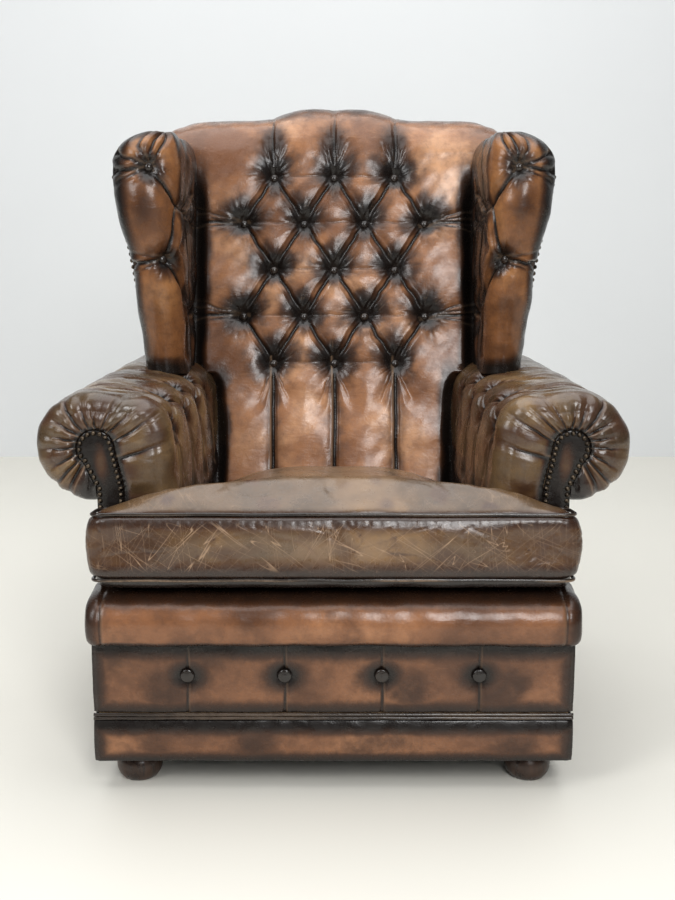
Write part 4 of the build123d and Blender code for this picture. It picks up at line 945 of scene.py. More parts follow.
@dataclass
class InsideBack(Assembly):
    """The deep-buttoned back that rolls over the crest rail."""

    row_counts: tuple[int, ...] = (3, 4, 3, 4, 3)
    first_row: float = 160.0
    row_pitch: float = 90.0
    column_pitch: float = 116.0
    half_width: float = 298.0
    crest_half_width: float = 334.0
    bottom_z: float = 284.0
    roll_z: float = 976.0
    rear: Flat = (448.0, 958.0)
    under: Flat = (407.0, 880.5)
    columns: int = 290
    front_rows: int = 320

    def crest_z(self, x: Table) -> Table:
        """Top of the crest at a distance from the middle.

        Args:
            x: Distance from the middle, in mm.

        Returns:
            The height, in mm.
        """
        shares = (0.0, 0.1, 0.2, 0.32, 0.42, 0.6, 0.88, 0.96, 1.0)
        drops = (0.0, 0.012, 0.06, 0.18, 0.30, 0.36, 0.50, 0.68, 0.98)
        return 1066.0 - 68.0 * smooth_table(shares, drops, np.abs(x) / self.crest_half_width)

    def rows_of_buttons(self) -> list[list[Flat]]:
        """Places of the buttons on the sloping face, row by row from the lowest.

        Returns:
            For each row, the distance from the middle and the way up the slope of each button.
        """
        rows = []
        for row, count in enumerate(self.row_counts):
            up = self.first_row + row * self.row_pitch
            rows.append([((k - (count - 1) / 2) * self.column_pitch, up) for k in range(count)])
        return rows

    def tufting(self) -> Tufting:
        """Buttons and pleats of the back.

        Returns:
            The buttoning of the back.
        """
        rows = self.rows_of_buttons()
        pleats = []
        for low_row, high_row in zip(rows, rows[1:]):
            for low in low_row:
                pleats += [Pleat(low, high) for high in high_row if abs(low[0] - high[0]) < self.column_pitch]
        for x, up in rows[0]:
            pleats.append(Pleat((x, up), (x + 1.0, -110.0), 7.5, 4.6, 0.9, 0.7, shade=0.72))
            pleats.append(Pleat((x - 3.0, up - 12.0), (x - 26.0, up - 74.0), 2.6, 3.6, 0.4, 0.0, True))
            pleats.append(Pleat((x + 3.0, up - 12.0), (x + 30.0, up - 66.0), 2.6, 3.6, 0.4, 0.0, True))
        for x, up in rows[-1]:
            pleats.append(Pleat((x, up), (x * 1.04, up + 175.0), 7.0, 4.4, 0.85, 0.0, True))
            for lean, rise in ((-24.0, 62.0), (-10.0, 74.0), (12.0, 70.0), (27.0, 58.0)):
                pleats.append(Pleat((x, up + 6.0), (x + lean, up + rise), 3.4, 3.6, 0.75, 0.0, True))
        for row in (rows[1], rows[3]):
            for x, up in (row[0], row[-1]):
                edge = math.copysign(self.half_width, x)
                pleats.append(Pleat((x, up), (edge, up + 3.0), 7.0, 5.4, 0.8))
                for rise in (-16.0, 20.0, 38.0):
                    pleats.append(Pleat((x, up), (edge, up + rise), 3.6, 3.8, 0.55, 0.2, True))
        for row in rows:
            for first, second in zip(row, row[1:]):
                pleats.append(Pleat(first, second, 1.5, 2.4, 0.3))
        buttons = [button for row in rows for button in row]
        return Tufting(buttons, pleats, seed=11, halo_shift=(0.0, 11.0), halo=38.0)

    def profile(self, x: float) -> tuple[Table, Table]:
        """Side view of the pad at a distance from the middle.

        Args:
            x: Distance from the middle, in mm.

        Returns:
            Depths and heights of the closed profile, and how far each point is up the slope.
        """
        heights = np.linspace(self.bottom_z, self.roll_z, self.front_rows, endpoint=False)
        face = np.stack([back_face_y(heights), heights], axis=1)
        crest = float(self.crest_z(np.array(x)))
        start = (float(back_face_y(self.roll_z)), self.roll_z)
        top = (start[0] + 96.0, crest)
        rear, under = self.rear, self.under
        rise = crest - self.roll_z
        lean = (RAKE_TAN * RAKE_COS, RAKE_COS)
        leaving = (start[0] + lean[0] * rise * 0.5, start[1] + lean[1] * rise * 0.5)
        over = curve(
            start,
            (leaving, (top[0] - 55.0, crest), top, 44),
            ((top[0] + 60.0, crest), (rear[0], rear[1] + (crest - rear[1]) * 0.6), rear, 46),
            ((rear[0], rear[1] - 42.0), (under[0] + 26.0, under[1] - 1.0), under, 26),
        )
        low_rear = (float(post_front_y(self.bottom_z)) - 9.6, self.bottom_z)
        hidden = np.array([under, (404.0, 884.0), (402.0, 982.0), (344.0, 982.0), (343.0, 885.0), low_rear])
        table = np.concatenate([face, over, hidden])
        return table, travelled(table) + (self.bottom_z - BACK_Z) / RAKE_COS

    def build(self) -> None:
        """Make the pad and its buttons."""
        self.pad()
        self.buttons()

    def pad(self) -> None:
        """Make the padded leather of the back."""
        stations = np.sin(np.linspace(-math.pi / 2, math.pi / 2, self.columns)) * 0.12
        stations += np.linspace(-1.0, 1.0, self.columns) * 0.88
        profiles = [self.profile(share * self.crest_half_width) for share in stations]
        sides = np.stack([table for table, _ in profiles], axis=1)
        travel = np.stack([way for _, way in profiles], axis=1)
        heights = sides[..., 1]
        between_arms = arm_inner_x(heights) - toe_in(back_face_y(heights)) - 1.0
        narrow = np.minimum(between_arms, self.half_width)
        width = narrow + (self.crest_half_width - narrow) * ease(heights, 958.0, 974.0)
        width[-6:] = np.minimum(narrow[-6:], self.half_width)
        points = np.stack([stations * width, sides[..., 0], heights], axis=2)
        normal = outward(points)
        lift, stain, worn = self.tufting().relief(points[..., 0], travel)
        shown = np.ones(lift.shape)
        shown[-8:] = 0.0
        rear = ease(travel, 730.0, 800.0)
        cloud = rolling(points[..., 0], travel, 70.0, 31)
        inner = np.where(heights < 566.0, narrow, 266.0)
        across = np.abs(points[..., 0])
        gutter = ease(across, inner - 25.0, inner - 2.0) * (1.0 - ease(heights, 840.0, 955.0))
        lift = (lift * (1.0 - 0.7 * gutter) - 15.0 * gutter) * (1.0 - rear) * shown
        # Painted shade in the gutters beside the wings and low down beside the arms; top_shade darkens the
        # roll over the crest.
        side_shade = ease(across + 5.0 * cloud, 222.0, 262.0) * (1.0 - 0.8 * ease(heights, 880.0, 985.0))
        low_side_shade = 0.95 * ease(across + 6.0 * cloud, 184.0, 218.0) * (1.0 - ease(heights, 520.0, 620.0))
        top_shade = 0.6 * ease(travel, 596.0, 690.0) * (0.8 + 0.2 * cloud)
        shades = [stain * (1.0 - rear), side_shade, low_side_shade, top_shade]
        # Darker patches above the top row of buttons.
        for x, up in self.rows_of_buttons()[-1]:
            dark_above_row = hump(points[..., 0] - x, 30.0 + 5.0 * cloud) * hump(travel - up - 46.0, 66.0)
            shades.append(0.72 * dark_above_row)
        stain = np.clip(np.maximum.reduce(shades), 0.0, 1.0)
        end = np.clip((1.0 - np.abs(stations)) * self.crest_half_width / 24.0, 0.0, 1.0)
        inset = 24.0 * (1.0 - np.sqrt(1.0 - (1.0 - end) ** 2))
        inset = inset[None, :] * ease(heights, 955.0, 985.0)
        points += normal * (lift - inset)[..., None]
        piece = skin("back_pad", points, {"stain": stain, "worn": worn})
        fit(piece, self.finishes.back, ("inside_back",))

    def buttons(self) -> None:
        """Make the covered buttons of the back."""
        domes = Domes("back_button_domes", 8.0, 6.4)
        for row in self.rows_of_buttons():
            for x, up in row:
                z = BACK_Z + up * RAKE_COS
                domes.add((x, float(back_face_y(z)), z), (0.0, -RAKE_COS, RAKE_TAN * RAKE_COS), -15.0)
        fit(domes.build(), self.finishes.trim, ("back_buttons",))


@dataclass
class Domes:
    """A set of equal covered buttons, each a low dome with a rolled rim."""

    name: str
    radius: float
    height: float
    places: list[tuple[Vector, Vector]] = field(default_factory=list)
    segments: int = 28
    rings: int = 14
    under: float = 0.35
    rim: float = 0.0006

    def add(self, place: Place, normal: Place, lift: float) -> None:
        """Put one button on a surface.

        Args:
            place: Point of the surface, in mm.
            normal: Way out of the surface.
            lift: Height of the button's base over the point, below it if negative.
        """
        way = Vector(normal).normalized()
        self.places.append((Vector(place) + way * lift, way))

    def build(self) -> Piece:
        """Make all the domes as one object of separate closed forms.

        Returns:
            The new object.
        """
        bpy.ops.object.select_all(action="DESELECT")
        size = self.radius * MM
        bpy.ops.mesh.primitive_uv_sphere_add(segments=self.segments, ring_count=self.rings, radius=size)
        dome = bpy.context.object
        co = np.zeros(len(dome.data.vertices) * 3, np.float32)
        dome.data.vertices.foreach_get("co", co)
        shape = co.reshape(-1, 3)
        shape[:, 2] *= np.where(shape[:, 2] > 0, self.height / self.radius, self.under)
        reach = np.hypot(shape[:, 0], shape[:, 1]) / size
        shape[:, 2] += self.rim * np.exp(-(((reach - 0.86) / 0.1) ** 2))
        dome.data.vertices.foreach_set("co", shape.ravel())
        copies = [dome]
        for place, way in self.places:
            copy = dome.copy()
            copy.data = dome.data.copy()
            bpy.context.scene.collection.objects.link(copy)
            turn = way.to_track_quat("Z", "Y").to_matrix().to_4x4()
            turn.translation = place * MM
            copy.data.transform(turn)
            copies.append(copy)
        bpy.data.objects.remove(dome)
        bpy.ops.object.select_all(action="DESELECT")
        for copy in copies[1:]:
            copy.select_set(True)
        bpy.context.view_layer.objects.active = copies[1]
        bpy.ops.object.join()
        piece = bpy.context.object
        piece.name = piece.data.name = self.name
        bpy.ops.object.shade_smooth()
        return piece


def corner_path(corners: list[Flat], radius: float, step: float) -> Table:
    """Closed outline with rounded corners, as evenly spaced points.

    Args:
        corners: Corners in order.
        radius: Radius of the corners.
        step: Wished distance between points.

    Returns:
        Points of the outline, the last one a step before the first.
    """
    places = np.array(corners, float)
    line = []
    for before, here, after in zip(np.roll(places, 1, 0), places, np.roll(places, -1, 0)):
        to_before, to_after = before - here, after - here
        to_before /= np.linalg.norm(to_before)
        to_after /= np.linalg.norm(to_after)
        half = math.acos(float(np.clip(to_before @ to_after, -1, 1))) / 2
        cut = radius / math.tan(half)
        first, last = here + to_before * cut, here + to_after * cut
        for t in np.linspace(0, 1, 14):
            line.append((1 - t) ** 2 * first + 2 * (1 - t) * t * here + t * t * last)
    line = np.array(line + [line[0]])
    travel = travelled(line)
    at = np.linspace(0.0, travel[-1], max(8, int(travel[-1] / step)), endpoint=False)
    return np.stack([np.interp(at, travel, line[:, k]) for k in range(2)], axis=1)


@dataclass
class Sided(Assembly):
    """What the sub-assemblies of one side share."""

    side: Side

    def named(self, piece: str) -> str:
        """Name of this side's piece of a kind."""
        return f"{self.side.label}_{piece}"

    def flip(self, points: Table) -> Table:
        """Points moved to this side."""
        return points * np.array([self.side.value, 1.0, 1.0])


@dataclass
class Arm(Sided):
    """One arm: buttoned inside, scroll, gathered front, nailed facing and outside panel."""

    inner_x: float = 240.0
    core_x: float = 315.0
    foot_z: float = 239.8
    neck_z: float = 396.0
    scroll: Flat = (366.0, 509.0)
    radius: float = 80.0
    shoulder: Flat = (300.0, 527.0)
    shoulder_radius: float = 54.0
    top_angle: float = 97.1
    low_angle: float = 174.0
    high_angle: float = 120.0
    nose: float = 25.0
    rear_nose: float = 12.0
    head_radius: float = 28.8
    button_pitch: float = 118.0
    low_count: int = 4
    high_count: int = 3
    first_button_y: float = -284.0
    facing_layers: tuple[Flat, ...] = (
        (1.0, 2.6), (0.5, 2.6), (0.0, 2.6), (0.0, 0.6), (0.04, -0.4), (0.1, -0.8), (0.2, -1.1),
        (0.35, -1.5), (0.5, -1.8), (0.65, -2.0), (0.8, -2.1), (0.9, -2.1), (1.0, -2.1),
    )

    @staticmethod
    def round_point(centre: Flat, radius: float, angle: Table) -> Table:
        """Point of a circle at an angle in degrees."""
        turn = np.radians(angle)
        return np.stack([centre[0] + radius * np.cos(turn), centre[1] + radius * np.sin(turn)], -1)

    def head_point(self, angle: Table) -> Table:
        """Point of the facing's round head at an angle in degrees."""
        return self.round_point((SIDE_X, self.scroll[1]), self.head_radius, angle)

    def outlines(self) -> tuple[Table, Table]:
        """Front view of the arm's leather: its outer outline, and where each point gathers to.

        Returns:
            The outer outline and the inner one, with as many points.
        """

        def line(a: Table, b: Table, count: int) -> Table:
            """Evenly spaced steps from one value to another, without the last."""
            return np.linspace(a, b, count, endpoint=False)

        low = self.round_point(self.shoulder, self.shoulder_radius, self.low_angle)
        turns = np.linspace(self.top_angle, -96.4, 140)
        outer = [
            line((self.inner_x, self.foot_z), (self.inner_x, self.neck_z), 8),
            curve((self.inner_x, self.neck_z), ((self.inner_x, 430.0), (241.2, 490.0), low, 52)),
            self.round_point(self.shoulder, self.shoulder_radius, line(self.low_angle, self.top_angle, 50)),
            line(
                self.round_point(self.shoulder, self.shoulder_radius, self.top_angle),
                self.round_point(self.scroll, self.radius, self.top_angle), 32,
            ),
            self.round_point(self.scroll, self.radius, turns),
        ]
        throat = np.clip((-62.0 - turns) / 34.4, 0.0, 1.0)[:, None]
        arc_in = self.head_point(np.interp(turns, (-62.0, self.top_angle), (-50.0, 97.0)))
        inner = [
            line((self.core_x, self.foot_z), (self.core_x, self.neck_z), 8),
            line((self.core_x, self.neck_z), (self.core_x, 449.0), 22),
            line((self.core_x, 449.0), self.head_point(180.0), 30), self.head_point(line(180.0, 122.0, 50)),
            self.head_point(line(122.0, 97.0, 32)), arc_in * (1 - throat) + np.array([357.2, 446.8]) * throat,
        ]
        return np.concatenate(outer), np.concatenate(inner)

    def gathers(self) -> list[Pleat]:
        """Creases that run from the facing out over the nose of the arm.

        Returns:
            The creases.
        """
        chance = np.random.default_rng(7)
        pleats = []
        along = -22.0
        while along < 396.0:
            outside = along > 110.0
            reach = chance.uniform(4.5, 7.0)
            end = chance.choice([-352.0, -340.0, -300.0]) if outside else chance.uniform(-365.0, -325.0)
            drift = chance.uniform(-16.0, 16.0)
            depth = chance.uniform(3.0, 6.5) if outside else chance.uniform(3.0, 5.0)
            line = chance.uniform(0.2, 0.8)
            start = -392.0 if outside else -420.0
            pleats.append(Pleat((along, start), (along + drift, end), depth, reach, 0.95, line, True))
            along += chance.uniform(18.0, 34.0) if outside else chance.uniform(34.0, 48.0)
        return pleats

    def tufting(self) -> Tufting:
        """Buttons and pleats, along the outline from the low buttons and by depth.

        Returns:
            The buttoning of the arm.
        """
        high_a = math.radians(self.low_angle - self.high_angle) * self.shoulder_radius
        low = [(0.0, self.first_button_y + k * self.button_pitch) for k in range(self.low_count)]
        high = [(high_a, self.first_button_y + (k + 0.5) * self.button_pitch) for k in range(self.high_count)]
        near = [(a, b) for a in low for b in high if abs(a[1] - b[1]) < self.button_pitch]
        pleats = [Pleat(a, b, 12.0, 7.0, 0.9, 0.3) for a, b in near]
        pleats += [Pleat(place, (-120.0, place[1] + 6.0), 12.0, 7.5, 0.95, 0.2) for place in low]
        pleats += [Pleat(place, (-100.0, place[1] + 44.0), 4.0, 5.0, 0.6, 0.2, True) for place in low]
        for at_a, at_b in high:
            for end_a, shift in ((250.0, -16.0), (190.0, 14.0), (150.0, -44.0), (140.0, 40.0)):
                pleats.append(Pleat((at_a, at_b), (end_a, at_b + shift), 6.5, 5.5, 0.6, 0.75, True))
        pleats.append(Pleat(low[0], (150.0, self.first_button_y - 14.0), 8.0, 6.0, 0.7, 0.6, True))
        pleats.append(Pleat(low[0], (-60.0, self.first_button_y - 34.0), 3.0, 4.0, 0.4, 0.4, True))
        pleats += self.gathers()
        return Tufting(low + high, pleats, seed=40 + self.side.value, button_depth=19.0, halo=22.0)

    def build(self) -> None:
        """Make the arm's pieces."""
        self.pad()
        self.buttons()
        self.facing_board()
        self.outside_panel()

    def loops(self) -> tuple[Table, Table, Table, Table]:
        """Outlines of the arm's leather, from the facing round the nose to the rear and back inside.

        Returns:
            Places of the points, their two flat coordinates, and the part of the arm that they are in:
            below 1 the gathered front, up to 3 the nose and the length, and above it the hidden rest.
        """
        outer, inner = self.outlines()
        span = np.linalg.norm(outer - inner, axis=1, keepdims=True)
        way = (inner - outer) / span
        step = travelled(outer)
        along = step - step[60]
        rear_y = outside_back_y(outer[:, 1]) - 5.4
        whole = np.ones(len(outer))
        edge_y, rear_edge = ARM_FRONT_Y + self.nose, rear_y - self.rear_nose
        loops = []
        for q in np.linspace(0.0, 1.0, 30, endpoint=False):
            reach = span[:, 0] - (span[:, 0] - self.nose) * q
            bulge = 5.0 * math.sin(math.pi * q) ** 0.8 * ease(outer[:, 1], 430.0, 470.0) if q else 0.0
            unrolled = edge_y - self.nose * math.pi / 2 - (reach - self.nose)
            loops.append((outer + way * reach[:, None], ARM_FRONT_Y * whole - bulge, unrolled, q))
        for turn in np.linspace(0.0, math.pi / 2, 16, endpoint=False):
            y = ARM_FRONT_Y + self.nose * (1 - math.cos(turn))
            unrolled = edge_y - self.nose * (math.pi / 2 - turn)
            flat = outer + way * (self.nose * (1 - math.sin(turn)))
            loops.append((flat, y * whole, unrolled * whole, 1.0 + turn))
        for q in np.linspace(0.0, 1.0, 236):
            y = edge_y + (rear_edge - ARM_FRONT_Y - self.nose) * q
            loops.append((outer, y, y, 3.0))
        for turn in np.linspace(0.0, math.pi / 2, 7)[1:]:
            inset = self.rear_nose * (1 - math.cos(turn))
            loops.append((outer + way * inset, rear_y - self.rear_nose * (1 - math.sin(turn)), rear_y, 4.0))
        for y in (rear_y, (ARM_FRONT_Y + 30.0) * whole):
            loops.append((inner, y, y, 5.0))
        table = np.stack([np.column_stack([flat, y]) for flat, y, _, _ in loops])
        flat_b = np.stack([unrolled for _, _, unrolled, _ in loops])
        front = np.stack([number * whole for _, _, _, number in loops])
        points = np.stack([table[..., 0] - toe_in(table[..., 2]), table[..., 2], table[..., 1]], axis=2)
        return points, np.broadcast_to(along, front.shape), flat_b, front

    def pad(self) -> None:
        """Make the padded leather of the arm."""
        points, flat_a, flat_b, front = self.loops()
        normal = outward(points)
        lift, stain, worn = self.tufting().relief(flat_a, flat_b)
        behind = ease(flat_b, 250.0, 300.0)
        shown = (front < 3.5) * (1.0 - behind) * ease(flat_a, -170.0, -130.0)
        calm = np.where(front < 1.0, ease(front, 0.0, 0.35), 1.0)
        lift = lift * shown * calm
        rim = (front < 1.0) * (1.0 - ease(front, 0.0, 0.34))
        blotch = rolling(flat_a, flat_b, 75.0, 71 + self.side.value)
        # Painted shade at the rear end against the back, low on the inside by the seat and under the scroll;
        # darker at the rim round the facing; the blotches are the leather's own uneven tone.
        stain = np.maximum.reduce([
            stain * shown, rim * 0.95, 0.7 * behind, 0.36 * ease(blotch, -0.6, 0.9) * shown,
            (1.0 - ease(flat_a, -112.0, -80.0)) * 0.7, ease(flat_a, 320.0, 400.0) * 0.85,
        ])
        piece = skin(
            self.named("arm_pad"), self.flip(points + normal * lift[..., None]),
            {"stain": np.clip(stain, 0, 1), "worn": worn * shown},
        )
        fit(piece, self.finishes.arm, (self.named("inside_arm"),))

    def buttons(self) -> None:
        """Make the covered buttons of the arm."""
        domes = Domes(self.named("arm_button_domes"), 8.0, 6.0)
        rows = ((self.low_angle, self.low_count, 0.0), (self.high_angle, self.high_count, 0.5))
        for angle, count, offset in rows:
            x, z = self.round_point(self.shoulder, self.shoulder_radius, angle)
            normal = (self.side.value * math.cos(math.radians(angle)), 0.0, math.sin(math.radians(angle)))
            for k in range(count):
                y = self.first_button_y + (k + offset) * self.button_pitch
                domes.add((self.side.value * (x - toe_in(y)), y, z), normal, -16.0)
        stands_for = ("arm_buttons",) if self.side is Side.LEFT else ()
        fit(domes.build(), self.finishes.trim, stands_for)

    def facing_board(self) -> None:
        """Make the crowned keyhole facing."""
        radius = self.head_radius - 0.9
        head = self.head_point(np.linspace(180.0, -50.0, 60))
        centre = np.array([SIDE_X, self.scroll[1]])
        head = centre + (head - centre) * radius / self.head_radius
        left, right, foot, neck = 315.6, 355.9, 240.2, 447.0
        neck_left = np.linspace((left, foot), (left, neck), 40, endpoint=False)
        rise = np.linspace((left, neck), head[0], 18, endpoint=False)
        fall = np.linspace(head[-1], (right, neck + 0.5), 14)[1:]
        neck_right = np.linspace((right, neck + 0.5), (right, foot), 40)[1:]
        outline = np.concatenate([neck_left, rise, head, fall, neck_right])
        height = np.clip(outline[:, 1], 262.0, 507.0)
        core = np.column_stack([np.interp(height, (262.0, 447.0, 507.0), (335.8, 335.8, 354.0)), height])
        rows = []
        for share, rise_y in self.facing_layers:
            flat = outline + (core - outline) * share
            rows.append(np.column_stack([flat[:, 0], np.full(len(flat), ARM_FRONT_Y + rise_y), flat[:, 1]]))
        points = np.stack(rows)
        share = np.array([share for share, _ in self.facing_layers])[:, None] + 0 * points[..., 0]
        patch = np.exp(-(((points[..., 2] - 487.0) / 24.0) ** 2) - ((points[..., 0] - 348.0) / 9.0) ** 2)
        stain = np.clip(0.95 * (1.0 - ease(share, 0.05, 0.6)) + 0.8 - 0.62 * patch, 0.0, 1.0)
        piece = skin(self.named("facing_cover"), self.flip(points), {"stain": stain}, False)
        fit(piece, self.finishes.facing, (self.named("arm_facing"),))

    def outside_panel(self) -> None:
        """Make the covered panel under the scroll."""
        heights = np.concatenate([np.linspace(46.5, 238.0, 60), np.linspace(239.5, 445.5, 70)])
        front = np.where(heights < 239.0, -409.0, -341.0)
        rear = outside_back_y(heights) - 5.6
        shares = np.linspace(0.0, 1.0, 150)
        y = front[:, None] + (rear - front)[:, None] * shares[None, :]
        z = np.broadcast_to(heights[:, None], y.shape)
        edge = np.minimum.reduce([y - front[:, None], rear[:, None] - y, z - 46.0, 446.0 - z])
        lift = crowned(edge, 1.6, 60.0, 2.4) + 0.35 * rolling(y, z, 150.0, 90)
        outer_face = np.stack([SIDE_X - toe_in(y) - 1.2 + lift, y, z], axis=2)
        inner_face = np.stack([SIDE_X - toe_in(y) - 4.4, y, z], axis=2)
        points, marks = backed(outer_face, inner_face, stain=0.75 * (1.0 - ease(edge, 6.0, 46.0)))
        piece = skin(self.named("outside_arm_cover"), self.flip(points), marks)
        fit(piece, self.finishes.arm, (self.named("outside_arm"),))


@dataclass
class Wing(Sided):
    """One wing: rolled and buttoned inside, with a nailed panel outside."""

    root_z: float = 470.0
    top_z: float = 1004.0
    round_z: float = 946.0
    rise: float = 50.0
    roll: float = 48.0
    inner_x: float = 267.0
    corner: float = 9.0
    foot_z: float = 576.0
    free_z: float = 950.0
    edge_buttons: tuple[Flat, ...] = ((936.0, 104.0), (781.0, 122.0))
    side_buttons: Flat = (862.0, 677.0)
    heights: tuple[float, ...] = (0.0, 0.23, 0.41, 0.6, 0.75, 0.845, 0.91, 0.965, 1.0)
    flares: tuple[float, ...] = (0.0, 0.0, 0.15, 0.46, 0.82, 1.0, 0.96, 0.9, 0.8)
    reaches: tuple[float, ...] = (0.0, 0.05, 0.5, 0.85, 1.0, 0.97, 0.9, 0.8, 0.7)

    def share_up(self, z: Table) -> Table:
        """Share of the wing's height, from its root to its top, at a height."""
        return (z - self.root_z) / (self.top_z - self.root_z)

    def outer_x(self, z: Table) -> Table:
        """Outer half width of the rolled front at a height."""
        return 336.0 + 44.0 * smooth_table(self.heights, self.flares, self.share_up(z))

    def edge_y(self, z: Table) -> Table:
        """Depth of the foremost edge at a height."""
        return 4.0 - 56.0 * smooth_table(self.heights, self.reaches, self.share_up(z))

    def side_x(self, z: Table, y: Table) -> Table:
        """Outer side behind the roll, at a height and a depth."""
        front_x, front_y = self.outer_x(z), self.edge_y(z) + self.roll
        return front_x + (334.0 - front_x) * (y - front_y) / (post_front_y(z) + 45.0 - front_y)

    def tufting(self) -> Tufting:
        """Buttons and pleats, round the section from the front edge and by height.

        Returns:
            The buttoning of the wing.
        """
        top, middle = (13.0, self.edge_buttons[0][0]), (29.0, self.edge_buttons[1][0])
        upper, lower = ((142.0, z) for z in self.side_buttons)
        pleats = [
            Pleat(top, (-64.0, 930.0), 10.0, 6.0, 0.9), Pleat(top, (-60.0, 962.0), 7.0, 5.0, 0.7, 0.3),
            Pleat(top, (-62.0, 906.0), 6.0, 4.5, 0.6, 0.3, True), Pleat(top, (16.0, 1010.0), 8.0, 5.5, 0.8),
            Pleat(top, (-28.0, 1000.0), 6.0, 4.5, 0.6, 0.3), Pleat(top, (50.0, 1000.0), 5.0, 4.5, 0.6),
            Pleat(middle, (-64.0, 772.0), 10.0, 6.0, 0.9),
            Pleat(middle, (-60.0, 796.0), 4.5, 4.0, 0.5, 0.2, True),
            Pleat(middle, (-60.0, 752.0), 4.5, 4.0, 0.5, 0.2, True),
            Pleat(top, (66.0, 872.0), 13.0, 8.0, 1.0), Pleat((66.0, 872.0), upper, 9.0, 7.0, 0.95, 0.3),
            Pleat((66.0, 872.0), middle, 12.0, 7.5, 1.0), Pleat(middle, (70.0, 716.0), 13.0, 8.0, 1.0),
            Pleat((70.0, 716.0), lower, 10.0, 7.0, 0.95, 0.3),
            Pleat((70.0, 716.0), (64.0, 610.0), 8.0, 8.0, 0.9),
            Pleat(upper, (250.0, 900.0), 9.0, 6.5, 0.9, 0.3),
            Pleat(upper, (240.0, 842.0), 5.0, 5.0, 0.7, 0.3),
            Pleat(upper, (70.0, 800.0), 7.0, 6.0, 0.9, 0.3), Pleat(upper, lower, 8.0, 7.0, 0.9, 0.3),
            Pleat(lower, (250.0, 690.0), 9.0, 6.5, 0.85, 0.3), Pleat(lower, (120.0, 590.0), 9.0, 7.0, 0.8),
            Pleat(upper, (190.0, 1000.0), 8.0, 6.0, 0.8, 0.3),
        ]
        buttons = [top, middle, upper, lower]
        return Tufting(buttons, pleats, seed=60 + self.side.value, button_depth=19.0, halo=26.0)

    def build(self) -> None:
        """Make the wing's pieces."""
        self.pad()
        self.buttons()
        self.outside_panel()

    def section(self, z: Table) -> tuple[Table, Table]:
        """Plan of the pad at each of some heights.

        Args:
            z: Heights in mm, as one row.

        Returns:
            Places round the section as rows, heights as columns, and the way round from the front edge.
        """
        x0, y0, x1 = self.outer_x(z), self.edge_y(z), np.full(z.shape, self.inner_x)
        middle, half = (x0 + x1) / 2, (x0 - x1) / 2
        face = back_face_y(z) - 1.0
        rear = np.where(z > self.free_z, face, post_front_y(z) - 0.6)
        rows = []
        for q in np.linspace(0.0, 1.0, 12, endpoint=False):
            y = rear + (y0 + self.roll + 1.0 - rear) * q
            rows.append((self.side_x(z, y) - 5.4, y))
        for turn in np.linspace(0.0, math.pi, 64, endpoint=False):
            rows.append((middle + half * math.cos(turn), y0 + self.roll * (1 - math.sin(turn))))
        front_row = 12 + 32
        for q in np.linspace(0.0, 1.0, 96, endpoint=False):
            rows.append((x1, y0 + self.roll + (face - self.corner - y0 - self.roll) * q))
        for turn in np.linspace(0.0, math.pi / 2, 6):
            rows.append((x1 + self.corner * (1 - math.cos(turn)), face - self.corner * (1 - math.sin(turn))))
        rows.append((np.full(z.shape, 301.0), face))
        rows.append((np.full(z.shape, 302.0), rear))
        table = np.stack([np.stack(row, axis=-1) for row in rows])
        steps = np.linalg.norm(np.diff(table, axis=0), axis=2)
        travel = np.concatenate([np.zeros((1, len(z))), np.cumsum(steps, axis=0)])
        return table, travel - travel[front_row]

    def pad(self) -> None:
        """Make the padded leather of the wing."""
        straight = np.linspace(0.0, 1.0, 150, endpoint=False)
        turns = np.linspace(0.0, math.radians(86.0), 34)
        count = len(straight) + len(turns)
        lower, upper = np.ones(len(straight)), np.ones(len(turns))
        levels = np.concatenate([self.round_z * lower, self.round_z + self.rise * np.sin(turns)])
        climbing = self.foot_z + (self.round_z - self.foot_z) * straight
        plan_levels = np.concatenate([climbing, self.round_z * upper])
        table, travel = self.section(np.where(np.arange(count) < len(straight), plan_levels, levels))
        round_plan, round_travel = self.section(np.full(count, self.round_z))
        over = np.concatenate([np.zeros(len(straight)), turns])
        core_x = self.inner_x + 22.0
        core_y = np.maximum(round_plan[..., 1], self.edge_y(np.array(self.round_z)) + self.roll)
        shrink = np.cos(over)[None, :]
        x = np.where(over > 0, core_x + (round_plan[..., 0] - core_x) * shrink, table[..., 0])
        y = np.where(over > 0, core_y + (round_plan[..., 1] - core_y) * shrink, table[..., 1])
        before_back = np.minimum(y, back_face_y(levels)[None, :] - 1.0)
        y = np.where(levels[None, :] + 0 * y > self.free_z, before_back, y)
        bottom = arm_top_z(x, y) - 1.5
        rising = bottom + (self.round_z - bottom) * np.concatenate([straight, np.ones(len(turns))])[None, :]
        z = np.where(over > 0, levels, rising)
        way_round = np.where(over > 0, round_travel, travel)
        points = np.stack([x, y, z], axis=2)
        normal = outward(points)
        climb = z + np.where(over > 0, (over * 60.0 - self.rise * np.sin(over)) * 0.4, 0.0)
        lift, stain, worn = self.tufting().relief(way_round, climb)
        shown = ease(way_round, -74.0, -66.0) * (1.0 - ease(way_round, 318.0, 330.0))
        row = np.arange(points.shape[0])[:, None]
        shown = shown * (row < 172) * (1.0 - 0.8 * ease(over, 1.2, 1.45))
        lift = lift * shown
        shades = self.shades(way_round, climb, y, z, z - bottom)
        stain = np.maximum.reduce([stain * shown, *shades, 0.5 * ease(over, 0.5, 1.3) + 0 * z])
        piece = skin(
            self.named("wing_pad"), self.flip(points + normal * lift[..., None]),
            {"stain": np.clip(stain, 0, 1), "worn": worn * shown},
        )
        fit(piece, self.finishes.wing, (self.named("inside_wing"),))

